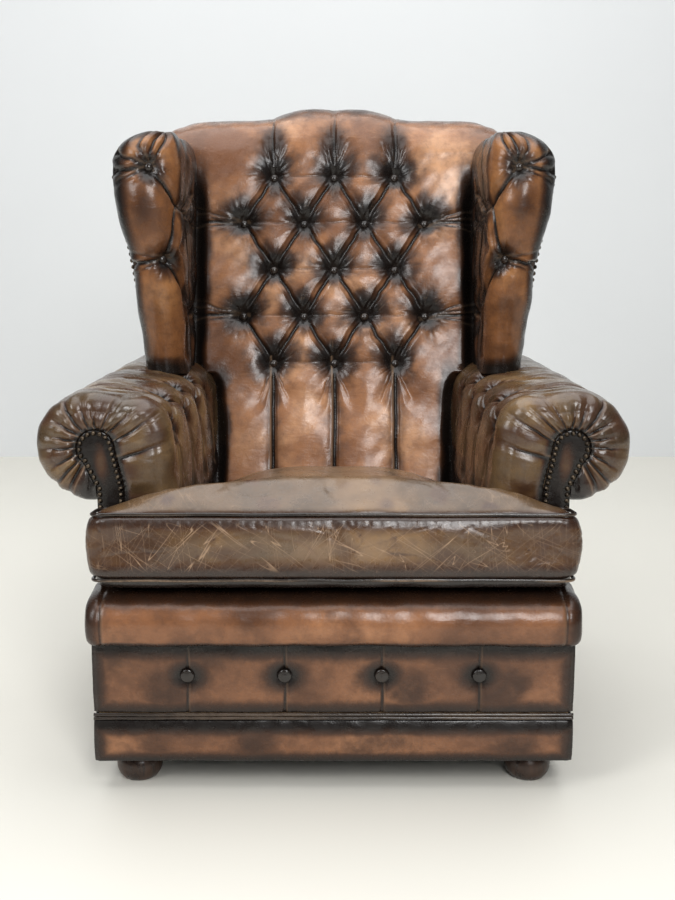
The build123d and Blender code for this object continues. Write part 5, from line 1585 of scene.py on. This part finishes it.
    @staticmethod
    def shades(way_round: Table, climb: Table, y: Table, z: Table, over_arm: Table) -> list[Table]:
        """Dark parts of the wing: painted shade at its foot on the arm, in the corner at the back and on its
        inner side, and darker along the front edge and in patches.

        Args:
            way_round: Way round the section from the front edge, in mm.
            climb: Way up the surface, in mm.
            y: Depth, in mm.
            z: Height, in mm.
            over_arm: Height over the arm, in mm.

        Returns:
            Darkening of each part, from 0 to 1.
        """
        edge = 0.95 * (1.0 - ease(way_round, -58.0, -8.0))
        # Painted shade where the wing meets the arm and in the corner against the back.
        foot = 0.85 * (1.0 - ease(over_arm, 6.0, 46.0))
        back_corner_shade = 0.9 * ease(y, back_face_y(z) - 52.0, back_face_y(z) - 8.0)
        # Darker patches down the front.
        patches = 0.42 * np.exp(-(((way_round + 4.0) / 26.0) ** 2) - ((z - 872.0) / 46.0) ** 2)
        patches = patches + 0.24 * np.exp(-(((way_round + 2.0) / 24.0) ** 2) - ((z - 700.0) / 70.0) ** 2)
        # Painted shade on the inner side.
        inner = ease(way_round, 58.0, 84.0) * (0.7 + 0.3 * rolling(way_round, climb, 60.0, 66))
        return [edge, foot, back_corner_shade, patches, inner]

    def buttons(self) -> None:
        """Make the covered buttons of the wing."""
        domes = Domes(self.named("wing_button_domes"), 8.0, 6.0)
        sign = self.side.value
        for z_at, angle in self.edge_buttons:
            x0, y0 = float(self.outer_x(np.array(z_at))), float(self.edge_y(np.array(z_at)))
            turn = math.radians(angle)
            x = (x0 + self.inner_x) / 2 + (x0 - self.inner_x) / 2 * math.cos(turn)
            place = (sign * x, y0 + self.roll * (1 - math.sin(turn)), z_at)
            domes.add(place, (sign * math.cos(turn), -math.sin(turn), 0.0), -16.0)
        for z_at in self.side_buttons:
            domes.add((sign * self.inner_x, 60.0, z_at), (-sign, 0.0, 0.0), -16.0)
        stands_for = ("wing_buttons",) if self.side is Side.LEFT else ()
        fit(domes.build(), self.finishes.trim, stands_for)

    def outside_panel(self) -> None:
        """Make the covered panel on the wing's outer side."""
        up = np.linspace(0.0, 1.0, 110)[:, None]
        back = np.linspace(0.0, 1.0, 110)[None, :]
        z = 560.0 + 403.0 * up + 0 * back
        for _ in range(3):
            front = self.edge_y(z) + self.roll + 0.6
            rear = post_front_y(z) + 44.4
            y = front + (rear - front) * back
            low = arm_top_z(self.side_x(z, y), y) + 0.6
            z = low + (963.4 - low) * up
        edge = np.minimum.reduce([y - front, rear - y, z - low, 963.6 - z])
        lift = crowned(edge, 0.4, 50.0) + 0.25 * rolling(y, z, 130.0, 95)
        outer_face = np.stack([self.side_x(z, y) - 0.4 + lift, y, z], axis=2)
        inner_face = np.stack([self.side_x(z, y) - 4.5, y, z], axis=2)
        stain = np.maximum(0.8 * (1.0 - ease(edge, 6.0, 40.0)), 1.0 - ease(y - front, 10.0, 26.0))
        points, marks = backed(outer_face, inner_face, stain=stain)
        piece = skin(self.named("outside_wing_cover"), self.flip(points), marks)
        fit(piece, self.finishes.wing, (self.named("outside_wing"),))


@dataclass
class OutsideBack(Assembly):
    """The covered panel of the back, with its nailed edge."""

    bottom_z: float = 46.4
    height: float = 830.0

    def build(self) -> None:
        """Make the panel."""
        across = np.linspace(-1.0, 1.0, 150)[None, :]
        up = np.linspace(0.0, 1.0, 150)[:, None]
        z = self.bottom_z + self.height * up + 0 * across
        half = np.interp(z, (46.0, 878.0), (334.6, 333.6))
        x = across * half
        edge = np.minimum.reduce([half - np.abs(x), z - 46.0, 877.0 - z])
        lift = crowned(edge, 1.8, 90.0) + 0.5 * rolling(x, z, 190.0, 97)
        outer_face = np.stack([x, outside_back_y(z) + lift, z], axis=2)
        inner_face = np.stack([x, outside_back_y(z) - 4.4, z], axis=2)
        stain = 0.8 * (1.0 - ease(edge, 8.0, 60.0))
        piece = skin("outside_back_cover", *backed(outer_face, inner_face, stain=stain))
        fit(piece, self.finishes.arm, ("outside_back",))


@dataclass
class Base(Assembly):
    """Front lip, buttoned apron, cords and base band, with the deck behind."""

    face_y: float = -424.0
    rear_y: float = -411.6
    lip_half: float = 363.0
    half: float = 357.0
    apron_low: float = 124.0
    apron_top: float = 239.0
    cord_radius: float = 2.6
    button_z: float = 181.5
    button_xs: tuple[float, ...] = (-216.0, -72.0, 72.0, 216.0)

    def end_shade(self, x: Table) -> Table:
        """Painted shade near both ends of the apron and the band, where they turn back."""
        return 0.7 * ease(np.abs(x), 318.0, self.half)

    def build(self) -> None:
        """Make the pieces of the base."""
        self.lip()
        self.apron()
        self.band()
        self.cords()
        self.deck()

    def lip(self) -> None:
        """Make the padded roll under the cushion's front edge."""
        roll = curve(
            (-424.6, 239.6),
            ((-425.2, 237.0), (-427.0, 232.0), (-431.0, 231.4), 16),
            ((-445.0, 231.0), (-450.0, 246.0), (-450.0, 261.0), 30),
            ((-450.0, 286.0), (-434.0, 302.0), (-404.0, 305.6), 34),
            ((-388.0, 306.8), (-372.0, 307.5), (-351.5, 308.0), 22),
        )
        rear = np.array([(-351.5, 308.0), (-351.5, 265.5), (-411.0, 265.5), (-411.0, 240.5), (-424.0, 239.8)])
        table = np.concatenate([roll, rear])
        stations = np.linspace(-1.0, 1.0, 300) * self.lip_half
        gap = np.clip((self.lip_half - np.abs(stations)) / 20.0, 0.0, 1.0)
        shrink = 17.0 * (1.0 - np.sqrt(1.0 - (1.0 - gap) ** 2))
        centre = np.array([-389.0, 270.0])
        offset = table - centre
        reach = np.linalg.norm(offset, axis=1, keepdims=True)
        share = 1.0 - shrink[None, :, None] / np.maximum(reach[:, None], 40.0)
        scaled = centre + offset[:, None, :] * share
        x = np.broadcast_to(stations, scaled.shape[:2])
        points = np.stack([x, scaled[..., 0], scaled[..., 1]], axis=2)
        way = travelled(table)[:, None] + 0 * x
        seam = np.abs(x) - 338.0
        lift = 0.9 * rolling(x, way, 130.0, 51) + 0.55 * rolling(x, way, 40.0, 52)
        lift = lift - 1.8 * hump(seam, 2.4, 1.5)
        normal = outward(points)
        shown = (np.arange(len(table)) < 102)[:, None]
        # Painted shade under the roll and along its top under the cushion; darker at both ends; the leather's
        # own uneven tone and dark seams; dark where hidden.
        stain = np.maximum.reduce([
            0.85 * (1.0 - ease(points[..., 2], 231.0, 245.0)) * (points[..., 1] < -412.0),
            0.6 * ease(points[..., 2], 280.0, 304.0) + 0 * x, 0.6 * ease(np.abs(x), 320.0, 360.0),
            0.3 * ease(rolling(x, way, 110.0, 53), -0.4, 1.0), 0.6 * hump(seam, 2.6, 1.5),
            1.0 - shown + 0 * x,
        ])
        worn = 0.5 * hump(seam + 2.8, 1.0) * (points[..., 1] < -425.0)
        marks = {"stain": np.clip(stain, 0, 1), "worn": worn}
        piece = skin("front_lip_roll", points + normal * (lift * shown)[..., None], marks)
        fit(piece, self.finishes.base, ("front_lip",))

    def apron(self) -> None:
        """Make the buttoned apron and its flat buttons."""
        heights = np.linspace(self.apron_low + 0.2, self.apron_top - 0.4, 110)
        stations = np.linspace(-1.0, 1.0, 420) * self.half
        x = np.broadcast_to(stations[None, :], (len(heights), len(stations)))
        z = np.broadcast_to(heights[:, None], x.shape)
        lift = 2.2 * ease(np.minimum(z - self.apron_low, self.apron_top - z), 0.0, 30.0)
        lift = lift - 4.0 * (1.0 - ease(self.half - np.abs(x), 0.0, 9.0))
        lift = lift + 0.6 * rolling(x, z, 110.0, 55) + 0.35 * rolling(x, z, 34.0, 56)
        # Painted shade along the top under the lip, darker towards the bottom, painted shade at both ends,
        # and the leather's own uneven tone.
        stain = np.maximum.reduce([
            0.95 * ease(z, 186.0, 236.0), 0.7 * (1.0 - ease(z, 122.0, 156.0)), self.end_shade(x),
            0.12 + 0.3 * ease(rolling(x, z, 120.0, 57), -0.4, 1.0),
        ])
        worn = np.zeros(x.shape)
        for k, at in enumerate(self.button_xs):
            away = np.hypot(x - at, z - self.button_z)
            lift = lift - 5.0 * hump(away, 15.0, 2.2)
            seam = x - at + 0.6 * np.sin(z / 17.0 + k)
            lift = lift - 2.6 * hump(seam, 2.2, 1.4) + 1.1 * hump(seam - 6.0, 4.0)
            # Darkening round each button and along its pleat, partly stain and partly painted shade in the
            # dimple and crease.
            halo = np.exp(-(((x - at) / 34.0) ** 2) - ((z - self.button_z) / 26.0) ** 2)
            stain = np.maximum(stain, np.maximum(0.92 * halo, 0.8 * hump(seam, 2.6, 1.5)))
            worn = np.maximum(worn, 0.16 * hump(seam - 3.0, 1.0) * (away > 12.0))
        face = np.stack([x, self.face_y + 1.4 - lift, z], axis=2)
        back = np.stack([x, np.full(x.shape, self.rear_y), z], axis=2)
        piece = skin("apron_cover", *backed(face, back, stain=stain, worn=worn))
        fit(piece, self.finishes.base, ("front_apron",))
        domes = Domes("apron_button_domes", 10.5, 3.4)
        for at in self.button_xs:
            domes.add((at, self.face_y, self.button_z), (0.0, -1.0, 0.0), -0.8)
        fit(domes.build(), self.finishes.trim, ("apron_buttons",))

    def band(self) -> None:
        """Make the bulged band along the bottom."""
        rear_edge = (self.rear_y, 46.2)
        face = curve(
            (self.rear_y, 112.6),
            ((-420.0, 112.6), (-424.0, 112.6), (-424.6, 110.6), 8),
            ((-431.0, 96.0), (-432.0, 66.0), (-425.0, 48.4), 44),
            ((-423.5, 46.3), (-420.0, 46.2), rear_edge, 8),
        )
        face = np.concatenate([face, [rear_edge]])
        stations = np.linspace(-1.0, 1.0, 300) * self.half
        x = np.broadcast_to(stations[None, :], (len(face), len(stations)))
        points = np.stack([x, face[:, 0][:, None] + 0 * x, face[:, 1][:, None] + 0 * x], axis=2)
        z = points[..., 2]
        lift = 0.9 * rolling(x, z, 150.0, 58) + 0.4 * rolling(x, z, 40.0, 59)
        lift = lift - 3.0 * (1.0 - ease(self.half - np.abs(x), 0.0, 8.0))
        points[..., 1] -= lift * (points[..., 1] < -413.0)
        # Darker at the top, painted shade on the lower part as it curves under, painted shade at both ends,
        # and the leather's own uneven tone.
        stain = np.maximum.reduce([
            0.9 * ease(z, 76.0, 110.0), 0.8 * (1.0 - ease(z, 44.0, 76.0)), self.end_shade(x),
            0.12 + 0.3 * ease(rolling(x, z, 140.0, 60), -0.4, 1.0),
        ])
        piece = skin("base_band_cover", points, {"stain": stain})
        fit(piece, self.finishes.base, ("base_band",))

    def cords(self) -> None:
        """Make the two cords between the apron and the band."""
        for name, z in (("lower_base_cord", 115.8), ("upper_base_cord", 121.1)):
            stations = np.linspace(-1.0, 1.0, 260) * (self.half - 0.5)
            turns = np.linspace(0.0, 2 * math.pi, 10, endpoint=False)[:, None]
            sway = 0.35 * rolling(stations, 0 * stations, 90.0, int(z))[None, :]
            x = np.broadcast_to(stations[None, :], (len(turns), len(stations)))
            y = self.face_y - 0.6 + self.cord_radius * np.cos(turns) + 0 * x
            points = np.stack([x, y, z + self.cord_radius * np.sin(turns) + sway], axis=2)
            worn = 0.14 * ease(rolling(stations, 0 * stations, 260.0, 7), -0.4, 0.8)[None, :] + 0 * x
            stands_for = ("base_cords",) if z < 118.0 else ()
            fit(skin(name, points, {"worn": worn}), self.finishes.trim, stands_for)

    def deck(self) -> None:
        """Make the covered deck that the loose cushion lies on."""
        across = np.linspace(-1.0, 1.0, 90)[None, :]
        back = np.linspace(0.0, 1.0, 110)[:, None]
        y = -347.0 + 600.0 * back + 0 * across
        half = 238.8 - toe_in(y)
        x = across * half
        top = 319.0 - (y + 450.0) * SLOPE_SIN / SLOPE_COS
        edge = np.minimum.reduce([half - np.abs(x), y + 347.5, 253.5 - y])
        face = np.stack([x, y, top - 0.6 - 2.5 * (1.0 - ease(edge, 0.0, 14.0))], axis=2)
        under = np.stack([x, y, top - 54.0], axis=2)
        fit(skin("deck_cover", *backed(face, under)), self.finishes.lining, ("seat_deck",))


@dataclass
class SeatCushion(Assembly):
    """The loose T-shaped cushion with its piped seams."""

    origin_y: float = -450.0
    origin_z: float = 319.0
    low_seam: float = 15.0
    top_seam: float = 111.0
    sag: float = 3.0
    cord_radius: float = 2.6
    cord_inset: float = 1.2
    voxel: float = 0.006
    pressure: float = 4.0
    frames: int = 20

    def seam_level(self, level: float, back: Table) -> Table:
        """Height over the deck of a seam, which sinks towards the rear."""
        return level - back * math.tan(math.radians(self.sag * level / self.top_seam))

    def levels(self, co: Table) -> tuple[Table, Table, Table]:
        """Places across, rearwards along the deck, and over it as if the seams were level.

        Args:
            co: Places in mm, one row each.

        Returns:
            The three coordinates of every place.
        """
        y, z = co[:, 1] - self.origin_y, co[:, 2] - self.origin_z
        back, height = y * SLOPE_COS - z * SLOPE_SIN, y * SLOPE_SIN + z * SLOPE_COS
        low, top = self.seam_level(self.low_seam, back), self.seam_level(self.top_seam, back)
        between = self.low_seam + (self.top_seam - self.low_seam) * (height - low) / (top - low)
        under = np.where(height < low, height - low + self.low_seam, between)
        return co[:, 0], back, np.where(height > top, self.top_seam + height - top, under)

    def outline(self, step: float) -> Table:
        """Line of a seam in plan, on the deck's axes.

        Args:
            step: Wished distance between points, in mm.

        Returns:
            Places across and rearwards along the deck.
        """
        front, ear_rear, rear = 8.7, 80.0, 513.9
        ear_x, body_x = 351.0, 224.0
        rear_x = body_x - float(toe_in(-450.0 + rear))
        corners = [
            (-ear_x, front), (ear_x, front), (ear_x, ear_rear), (body_x, ear_rear),
            (rear_x, rear), (-rear_x, rear), (-body_x, ear_rear), (-ear_x, ear_rear),
        ]
        return corner_path(corners, 20.0, step)

    def relax(self, piece: Piece, cap: float) -> None:
        """Let air pressure round the pad as cloth, and cap how far a point moves.

        Args:
            piece: The pad.
            cap: Most that a point may move, in mm.
        """
        before = self.places(piece)
        bpy.context.view_layer.objects.active = piece
        cloth = piece.modifiers.new("air", "CLOTH")
        cloth.settings.use_pressure = True
        cloth.settings.uniform_pressure_force = self.pressure
        cloth.settings.effector_weights.gravity = 0.0
        cloth.settings.quality = 5
        scene = bpy.context.scene
        for number in range(1, self.frames + 1):
            scene.frame_set(number)
        bpy.ops.object.modifier_apply(modifier=cloth.name)
        scene.frame_set(1)
        after = self.places(piece)
        move = after - before
        length = np.maximum(np.linalg.norm(move, axis=1, keepdims=True), 1e-6)
        across, back, level = self.levels(before)
        free = ease(np.abs(level - self.top_seam), 4.0, 40.0) * ease(np.abs(level - self.low_seam), 4.0, 40.0)
        beside_arms = ease(np.abs(across), 196.0, 216.0) * ease(back, 60.0, 90.0)
        free = free * (1.0 - 0.85 * beside_arms) * ease(level, 0.0, 15.0)
        move = move * np.minimum(1.0, cap / length) * free[:, None]
        move_points(piece, before + move)

    def calm_crown(self, piece: Piece) -> None:
        """Even out the crown so that it falls softly to all the seams.

        Args:
            piece: The pad.
        """
        level = self.levels(self.places(piece))[2]
        group = piece.vertex_groups.new(name="crown")
        for index, weight in enumerate(ease(level, self.top_seam + 1.0, self.top_seam + 12.0)):
            if weight > 0.0:
                group.add([index], float(weight), "REPLACE")
        modify(piece, "SMOOTH", iterations=90, factor=0.7, vertex_group=group.name)
        piece.vertex_groups.clear()

    @staticmethod
    def places(piece: Piece) -> Table:
        """Vertices of a piece in mm.

        Args:
            piece: The piece.

        Returns:
            One row for each vertex.
        """
        co = np.zeros(len(piece.data.vertices) * 3, np.float32)
        piece.data.vertices.foreach_get("co", co)
        return co.reshape(-1, 3).astype(float) / MM

    def build(self) -> None:
        """Make the cushion and its piping."""
        bpy.ops.object.select_all(action="DESELECT")
        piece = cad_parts["seat_cushion"].copy()
        piece.data = piece.data.copy()
        piece.name = piece.data.name = "cushion_pad"
        for key in list(piece.keys()):
            del piece[key]
        piece.parent = None
        bpy.context.scene.collection.objects.link(piece)
        piece.select_set(True)
        bpy.context.view_layer.objects.active = piece
        bpy.ops.object.mode_set(mode="EDIT")
        bpy.ops.mesh.select_all(action="SELECT")
        bpy.ops.mesh.remove_doubles(threshold=1e-6)
        bpy.ops.object.mode_set(mode="OBJECT")
        modify(piece, "REMESH", mode="VOXEL", voxel_size=self.voxel)
        modify(piece, "SMOOTH", iterations=6, factor=0.5)
        self.calm_crown(piece)
        self.relax(piece, 10.0)
        modify(piece, "SUBSURF", levels=1, render_levels=1)
        self.dress(piece)
        bpy.ops.object.shade_smooth()
        fit(piece, self.finishes.cushion, ("seat_cushion",), "cushion")
        self.piping()

    def dress(self, piece: Piece) -> None:
        """Draw in the seams, wrinkle the leather, and mark its stains, its wear and the painted shade and
        sheen on it.

        Args:
            piece: The pad.
        """
        co = self.places(piece)
        normals = np.zeros(len(co) * 3, np.float32)
        piece.data.vertices.foreach_get("normal", normals)
        normals = normals.reshape(-1, 3).astype(float)
        across, back, level = self.levels(co)
        at_seam = np.maximum(hump(level - self.top_seam, 5.0), hump(level - self.low_seam, 5.0))
        border = ease(level, 24.0, 40.0) * (1.0 - ease(level, 88.0, 104.0))
        front = 1.0 - ease(back, 20.0, 60.0)
        slant = rolling(across * 0.5, level * 2.0, 90.0, 81)
        creases = ridge(across / 21.0 + level / 18.0 + 2.2 * slant, 7)
        crossed = ridge(across / 27.0 - level / 15.0 + 2.4 * slant + 1.0, 7)
        pucker = ridge(across / 4.4 + 2.0 * rolling(across, back, 60.0, 85), 3)
        near_seam = np.maximum(hump(level - 101.0, 8.0), hump(level - 27.0, 8.0)) * front
        lift = -2.6 * at_seam + 0.9 * rolling(across, back + level * 2.0, 130.0, 82) * (1.0 - at_seam)
        lift -= (1.0 * creases + 0.8 * crossed) * border * front * (1.0 - at_seam)
        lift -= 0.7 * pucker * near_seam
        top = ease(level, 114.0, 122.0)
        lift -= 0.8 * top * ridge(across / 34.0 + back / 60.0 + 2.0 * rolling(across, back, 150.0, 86), 8)
        move_points(piece, co + normals * lift[:, None])
        under = 1.0 - ease(level, 4.0, 22.0)
        blotch = rolling(across, level * 1.6, 95.0, 87)
        # Dark seams; painted shade on the underside, the lower border, in the creases and at the rear of the
        # top; darker just below the top seam and towards the sides; uneven blotches.
        stain = np.maximum.reduce([
            0.75 * at_seam, 0.95 * under, 0.34 * ease(blotch, -0.4, 1.0) * border,
            0.62 * (1.0 - ease(level, 24.0, 58.0)), 0.34 * ease(np.abs(across), 90.0, 320.0) * border,
            0.55 * ease(level, 76.0, 100.0) * (1.0 - ease(level, 108.0, 112.0)),
            0.36 * (creases + crossed) * border * front, 0.7 * ease(back, 380.0, 500.0) * top,
            0.42 * ease(-blotch, 0.35, 0.9) * top,
        ])
        # Paler in the middle of the seat, partly wear and partly painted sheen.
        seat = np.maximum(border * hump(level - 62.0, 26.0), top)
        worn = 0.34 * hump(across, 150.0) * seat * (1.0 - 0.6 * ease(blotch, -0.2, 0.8))
        crackle = border * front * (0.5 + 0.5 * ease(340.0 - np.abs(across), 0.0, 60.0)) + 0.35 * top
        marks = {"stain": stain, "worn": worn, "crackle": crackle}
        add_marks(piece, {key: np.clip(mark, 0, 1) for key, mark in marks.items()})

    def piping(self) -> None:
        """Make the round cords sewn into the two seams."""
        for name, level in (("cushion_low_piping", self.low_seam), ("cushion_top_piping", self.top_seam)):
            path = self.outline(4.0)
            ahead = np.roll(path, -1, 0) - np.roll(path, 1, 0)
            ahead /= np.linalg.norm(ahead, axis=1, keepdims=True)
            away = np.column_stack([ahead[:, 1], -ahead[:, 0]])
            turns = np.linspace(0.0, 2 * math.pi, 12, endpoint=False)
            wave = 0.8 * rolling(path[:, 0], path[:, 1], 120.0, int(level))
            rows = []
            for turn in turns:
                flat = path + away * (self.cord_radius * math.cos(turn) - self.cord_inset)
                over = self.seam_level(level, flat[:, 1]) + wave + self.cord_radius * math.sin(turn)
                rows.append(np.column_stack([
                    flat[:, 0],
                    self.origin_y + flat[:, 1] * SLOPE_COS + over * SLOPE_SIN,
                    self.origin_z - flat[:, 1] * SLOPE_SIN + over * SLOPE_COS,
                ]))
            ring = np.stack(rows, axis=1)
            patchy = ease(rolling(path[:, 0], path[:, 1], 200.0, int(level) + 4), -0.3, 0.6)
            lighten = 0.5 if level == self.low_seam else 0.16
            worn = lighten * patchy[:, None] * hump(np.cos(turns[None, :] + 0.6) - 1.0, 0.35)
            piece = sheet(name, wrapped(wrapped(ring, 0), 1), {"worn": wrapped(wrapped(worn, 0), 1)})
            stands_for = ("cushion_piping",) if level == self.low_seam else ()
            fit(piece, self.finishes.trim, stands_for, "cushion")


@dataclass
class Carcass(Assembly):
    """The frame, springing, feet and nails, whose CAD shapes are kept."""

    feet: tuple[str, ...] = ("front_left_foot", "front_right_foot", "rear_left_foot", "rear_right_foot")
    nails: tuple[str, ...] = ("facing_nails", "wing_nails", "back_nails")
    metal: tuple[str, ...] = (
        "seat_springs", "back_springs", "spring_clips", "foot_bolts", "foot_tee_nuts", "block_screws"
    )
    cloth: tuple[str, ...] = ("seat_hessian", "back_hessian")
    # Frame parts seen in the gaps, given the feet's dark timber as painted shade.
    stained: tuple[str, ...] = (
        "crest_rail", "left_back_post", "right_back_post", "left_wing_frame", "right_wing_frame"
    )

    def build(self) -> None:
        """Give every kept node its material."""
        for name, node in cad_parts.items():
            material = self.finishes.rail
            if name in self.feet + self.stained:
                material = self.finishes.foot
            elif name in self.nails:
                material = self.finishes.nail
            elif name in self.metal:
                material = self.finishes.steel
            elif name in self.cloth:
                material = self.finishes.hessian
            elif name == "dust_cover":
                material = self.finishes.lining
            node.data.materials.clear()
            node.data.materials.append(material)
            bpy.ops.object.select_all(action="DESELECT")
            node.select_set(True)
            bpy.context.view_layer.objects.active = node
            bpy.ops.object.shade_smooth_by_angle(angle=math.radians(40.0))
            LOG.info("%s: kept", name)


@dataclass
class Studio:
    """Pale floor and wall, soft lamps and the camera."""

    reach: float = 7.0
    wall_y: float = 2.25
    camera_place: Place = (0.006, -2.035, 0.820)
    tilt: float = 10.5
    lens: float = 46.0
    dim: float = 0.14
    bright: float = 0.8

    def plain(self, name: str, colour: Colour, rough: float) -> Material:
        """Quiet painted surface with a little unevenness.

        Args:
            name: Name of the material.
            colour: Its colour.
            rough: Its roughness.

        Returns:
            The new material.
        """
        bench = Bench(name)
        cloud = bench.noise(1.3, 3.0, 0.5)
        tint = bench.blend(bench.span(cloud, 0.3, 0.7, 0.0, 0.35), colour, tuple(c * 0.95 for c in colour))
        return bench.finish(Base_Color=tint, Roughness=rough)

    @staticmethod
    def plane(name: str, corners: list[Place]) -> Piece:
        """Make one large flat face.

        Args:
            name: Name of the new object.
            corners: Its four corners in metres, row by row.

        Returns:
            The new object.
        """
        bpy.ops.object.select_all(action="DESELECT")
        bpy.ops.mesh.primitive_plane_add(size=1)
        piece = bpy.context.object
        piece.name = name
        for vertex, place in zip(piece.data.vertices, corners):
            vertex.co = place
        return piece

    @staticmethod
    def clear_from_behind(tree: bpy.types.NodeTree) -> None:
        """Let the camera look through the wall from its rear.

        Args:
            tree: Nodes of the wall's material.
        """
        clear = tree.nodes.new("ShaderNodeBsdfTransparent")
        mix = tree.nodes.new("ShaderNodeMixShader")
        both = tree.nodes.new("ShaderNodeMath")
        both.operation = "MULTIPLY"
        tree.links.new(tree.nodes.new("ShaderNodeNewGeometry").outputs["Backfacing"], both.inputs[0])
        tree.links.new(tree.nodes.new("ShaderNodeLightPath").outputs["Is Camera Ray"], both.inputs[1])
        tree.links.new(both.outputs[0], mix.inputs[0])
        tree.links.new(tree.nodes["Principled BSDF"].outputs[0], mix.inputs[1])
        tree.links.new(clear.outputs[0], mix.inputs[2])
        tree.links.new(mix.outputs[0], tree.nodes["Material Output"].inputs["Surface"])

    def build(self) -> None:
        """Make the set."""
        ends = (-self.reach, self.reach)
        floor = self.plane("floor", [(x, y, 0.0) for y in ends for x in ends])
        floor.data.materials.append(self.plain("floor_paint", (0.80, 0.78, 0.71), 0.5))
        wall = self.plane("wall", [(x, self.wall_y, z) for z in (-0.01, self.reach) for x in ends])
        paint = self.plain("wall_paint", (0.80, 0.82, 0.835), 0.8)
        self.clear_from_behind(paint.node_tree)
        wall.data.materials.append(paint)
        self.lamp("window", (0.7, -3.2, 2.25), (0.0, 0.0, 0.6), (0.8, 1.7), 66.0)
        self.lamp("side_window", (-2.2, -2.2, 2.3), (0.0, 0.0, 0.6), (1.0, 1.6), 40.0)
        self.lamp("ceiling", (0.0, -0.1, 3.5), (0.0, 0.0, 0.0), (3.6, 3.6), 112.0)
        self.sky()
        self.camera()

    def sky(self) -> None:
        """Set a dim even light all round, which the camera sees as a bright one."""
        world = bpy.data.worlds.new("studio")
        bpy.context.scene.world = world
        world.use_nodes = True
        tree = world.node_tree
        background = tree.nodes["Background"]
        background.inputs["Color"].default_value = (0.94, 0.97, 1.0, 1.0)
        strength = tree.nodes.new("ShaderNodeMapRange")
        strength.inputs["To Min"].default_value = self.dim
        strength.inputs["To Max"].default_value = self.bright
        seen = tree.nodes.new("ShaderNodeLightPath").outputs["Is Camera Ray"]
        tree.links.new(seen, strength.inputs["Value"])
        tree.links.new(strength.outputs["Result"], background.inputs["Strength"])

    @staticmethod
    def lamp(name: str, place: Place, target: Place, size: Flat, power: float) -> None:
        """Hang a large soft lamp that faces a point.

        Args:
            name: Name of the lamp.
            place: Its place, in metres.
            target: Point that it faces, in metres.
            size: Its width and height, in metres.
            power: Its power, in watts.
        """
        data = bpy.data.lights.new(name, "AREA")
        data.shape = "RECTANGLE"
        data.size, data.size_y = size
        data.energy = power
        lamp = bpy.data.objects.new(name, data)
        bpy.context.scene.collection.objects.link(lamp)
        lamp.location = place
        lamp.rotation_euler = (Vector(target) - Vector(place)).to_track_quat("-Z", "Y").to_euler()

    def camera(self) -> None:
        """Set the camera at the photograph's place."""
        data = bpy.data.cameras.new("camera")
        data.sensor_fit = "AUTO"
        data.sensor_width = 36.0
        data.lens = self.lens
        eye = bpy.data.objects.new("camera", data)
        bpy.context.scene.collection.objects.link(eye)
        eye.location = self.camera_place
        eye.rotation_euler = (math.radians(90.0 - self.tilt), 0.0, 0.0)
        bpy.context.scene.camera = eye
        bpy.context.scene.view_settings.view_transform = "Standard"


def main() -> None:
    """Build the chair and its set in order."""
    logging.basicConfig(level=logging.INFO, format="%(message)s")
    finishes = Finishes()
    Carcass(finishes).build()
    InsideBack(finishes).build()
    for side in Side:
        Arm(finishes, side).build()
        Wing(finishes, side).build()
    OutsideBack(finishes).build()
    Base(finishes).build()
    SeatCushion(finishes).build()
    Studio().build()


if __name__ == "__main__":
    main()
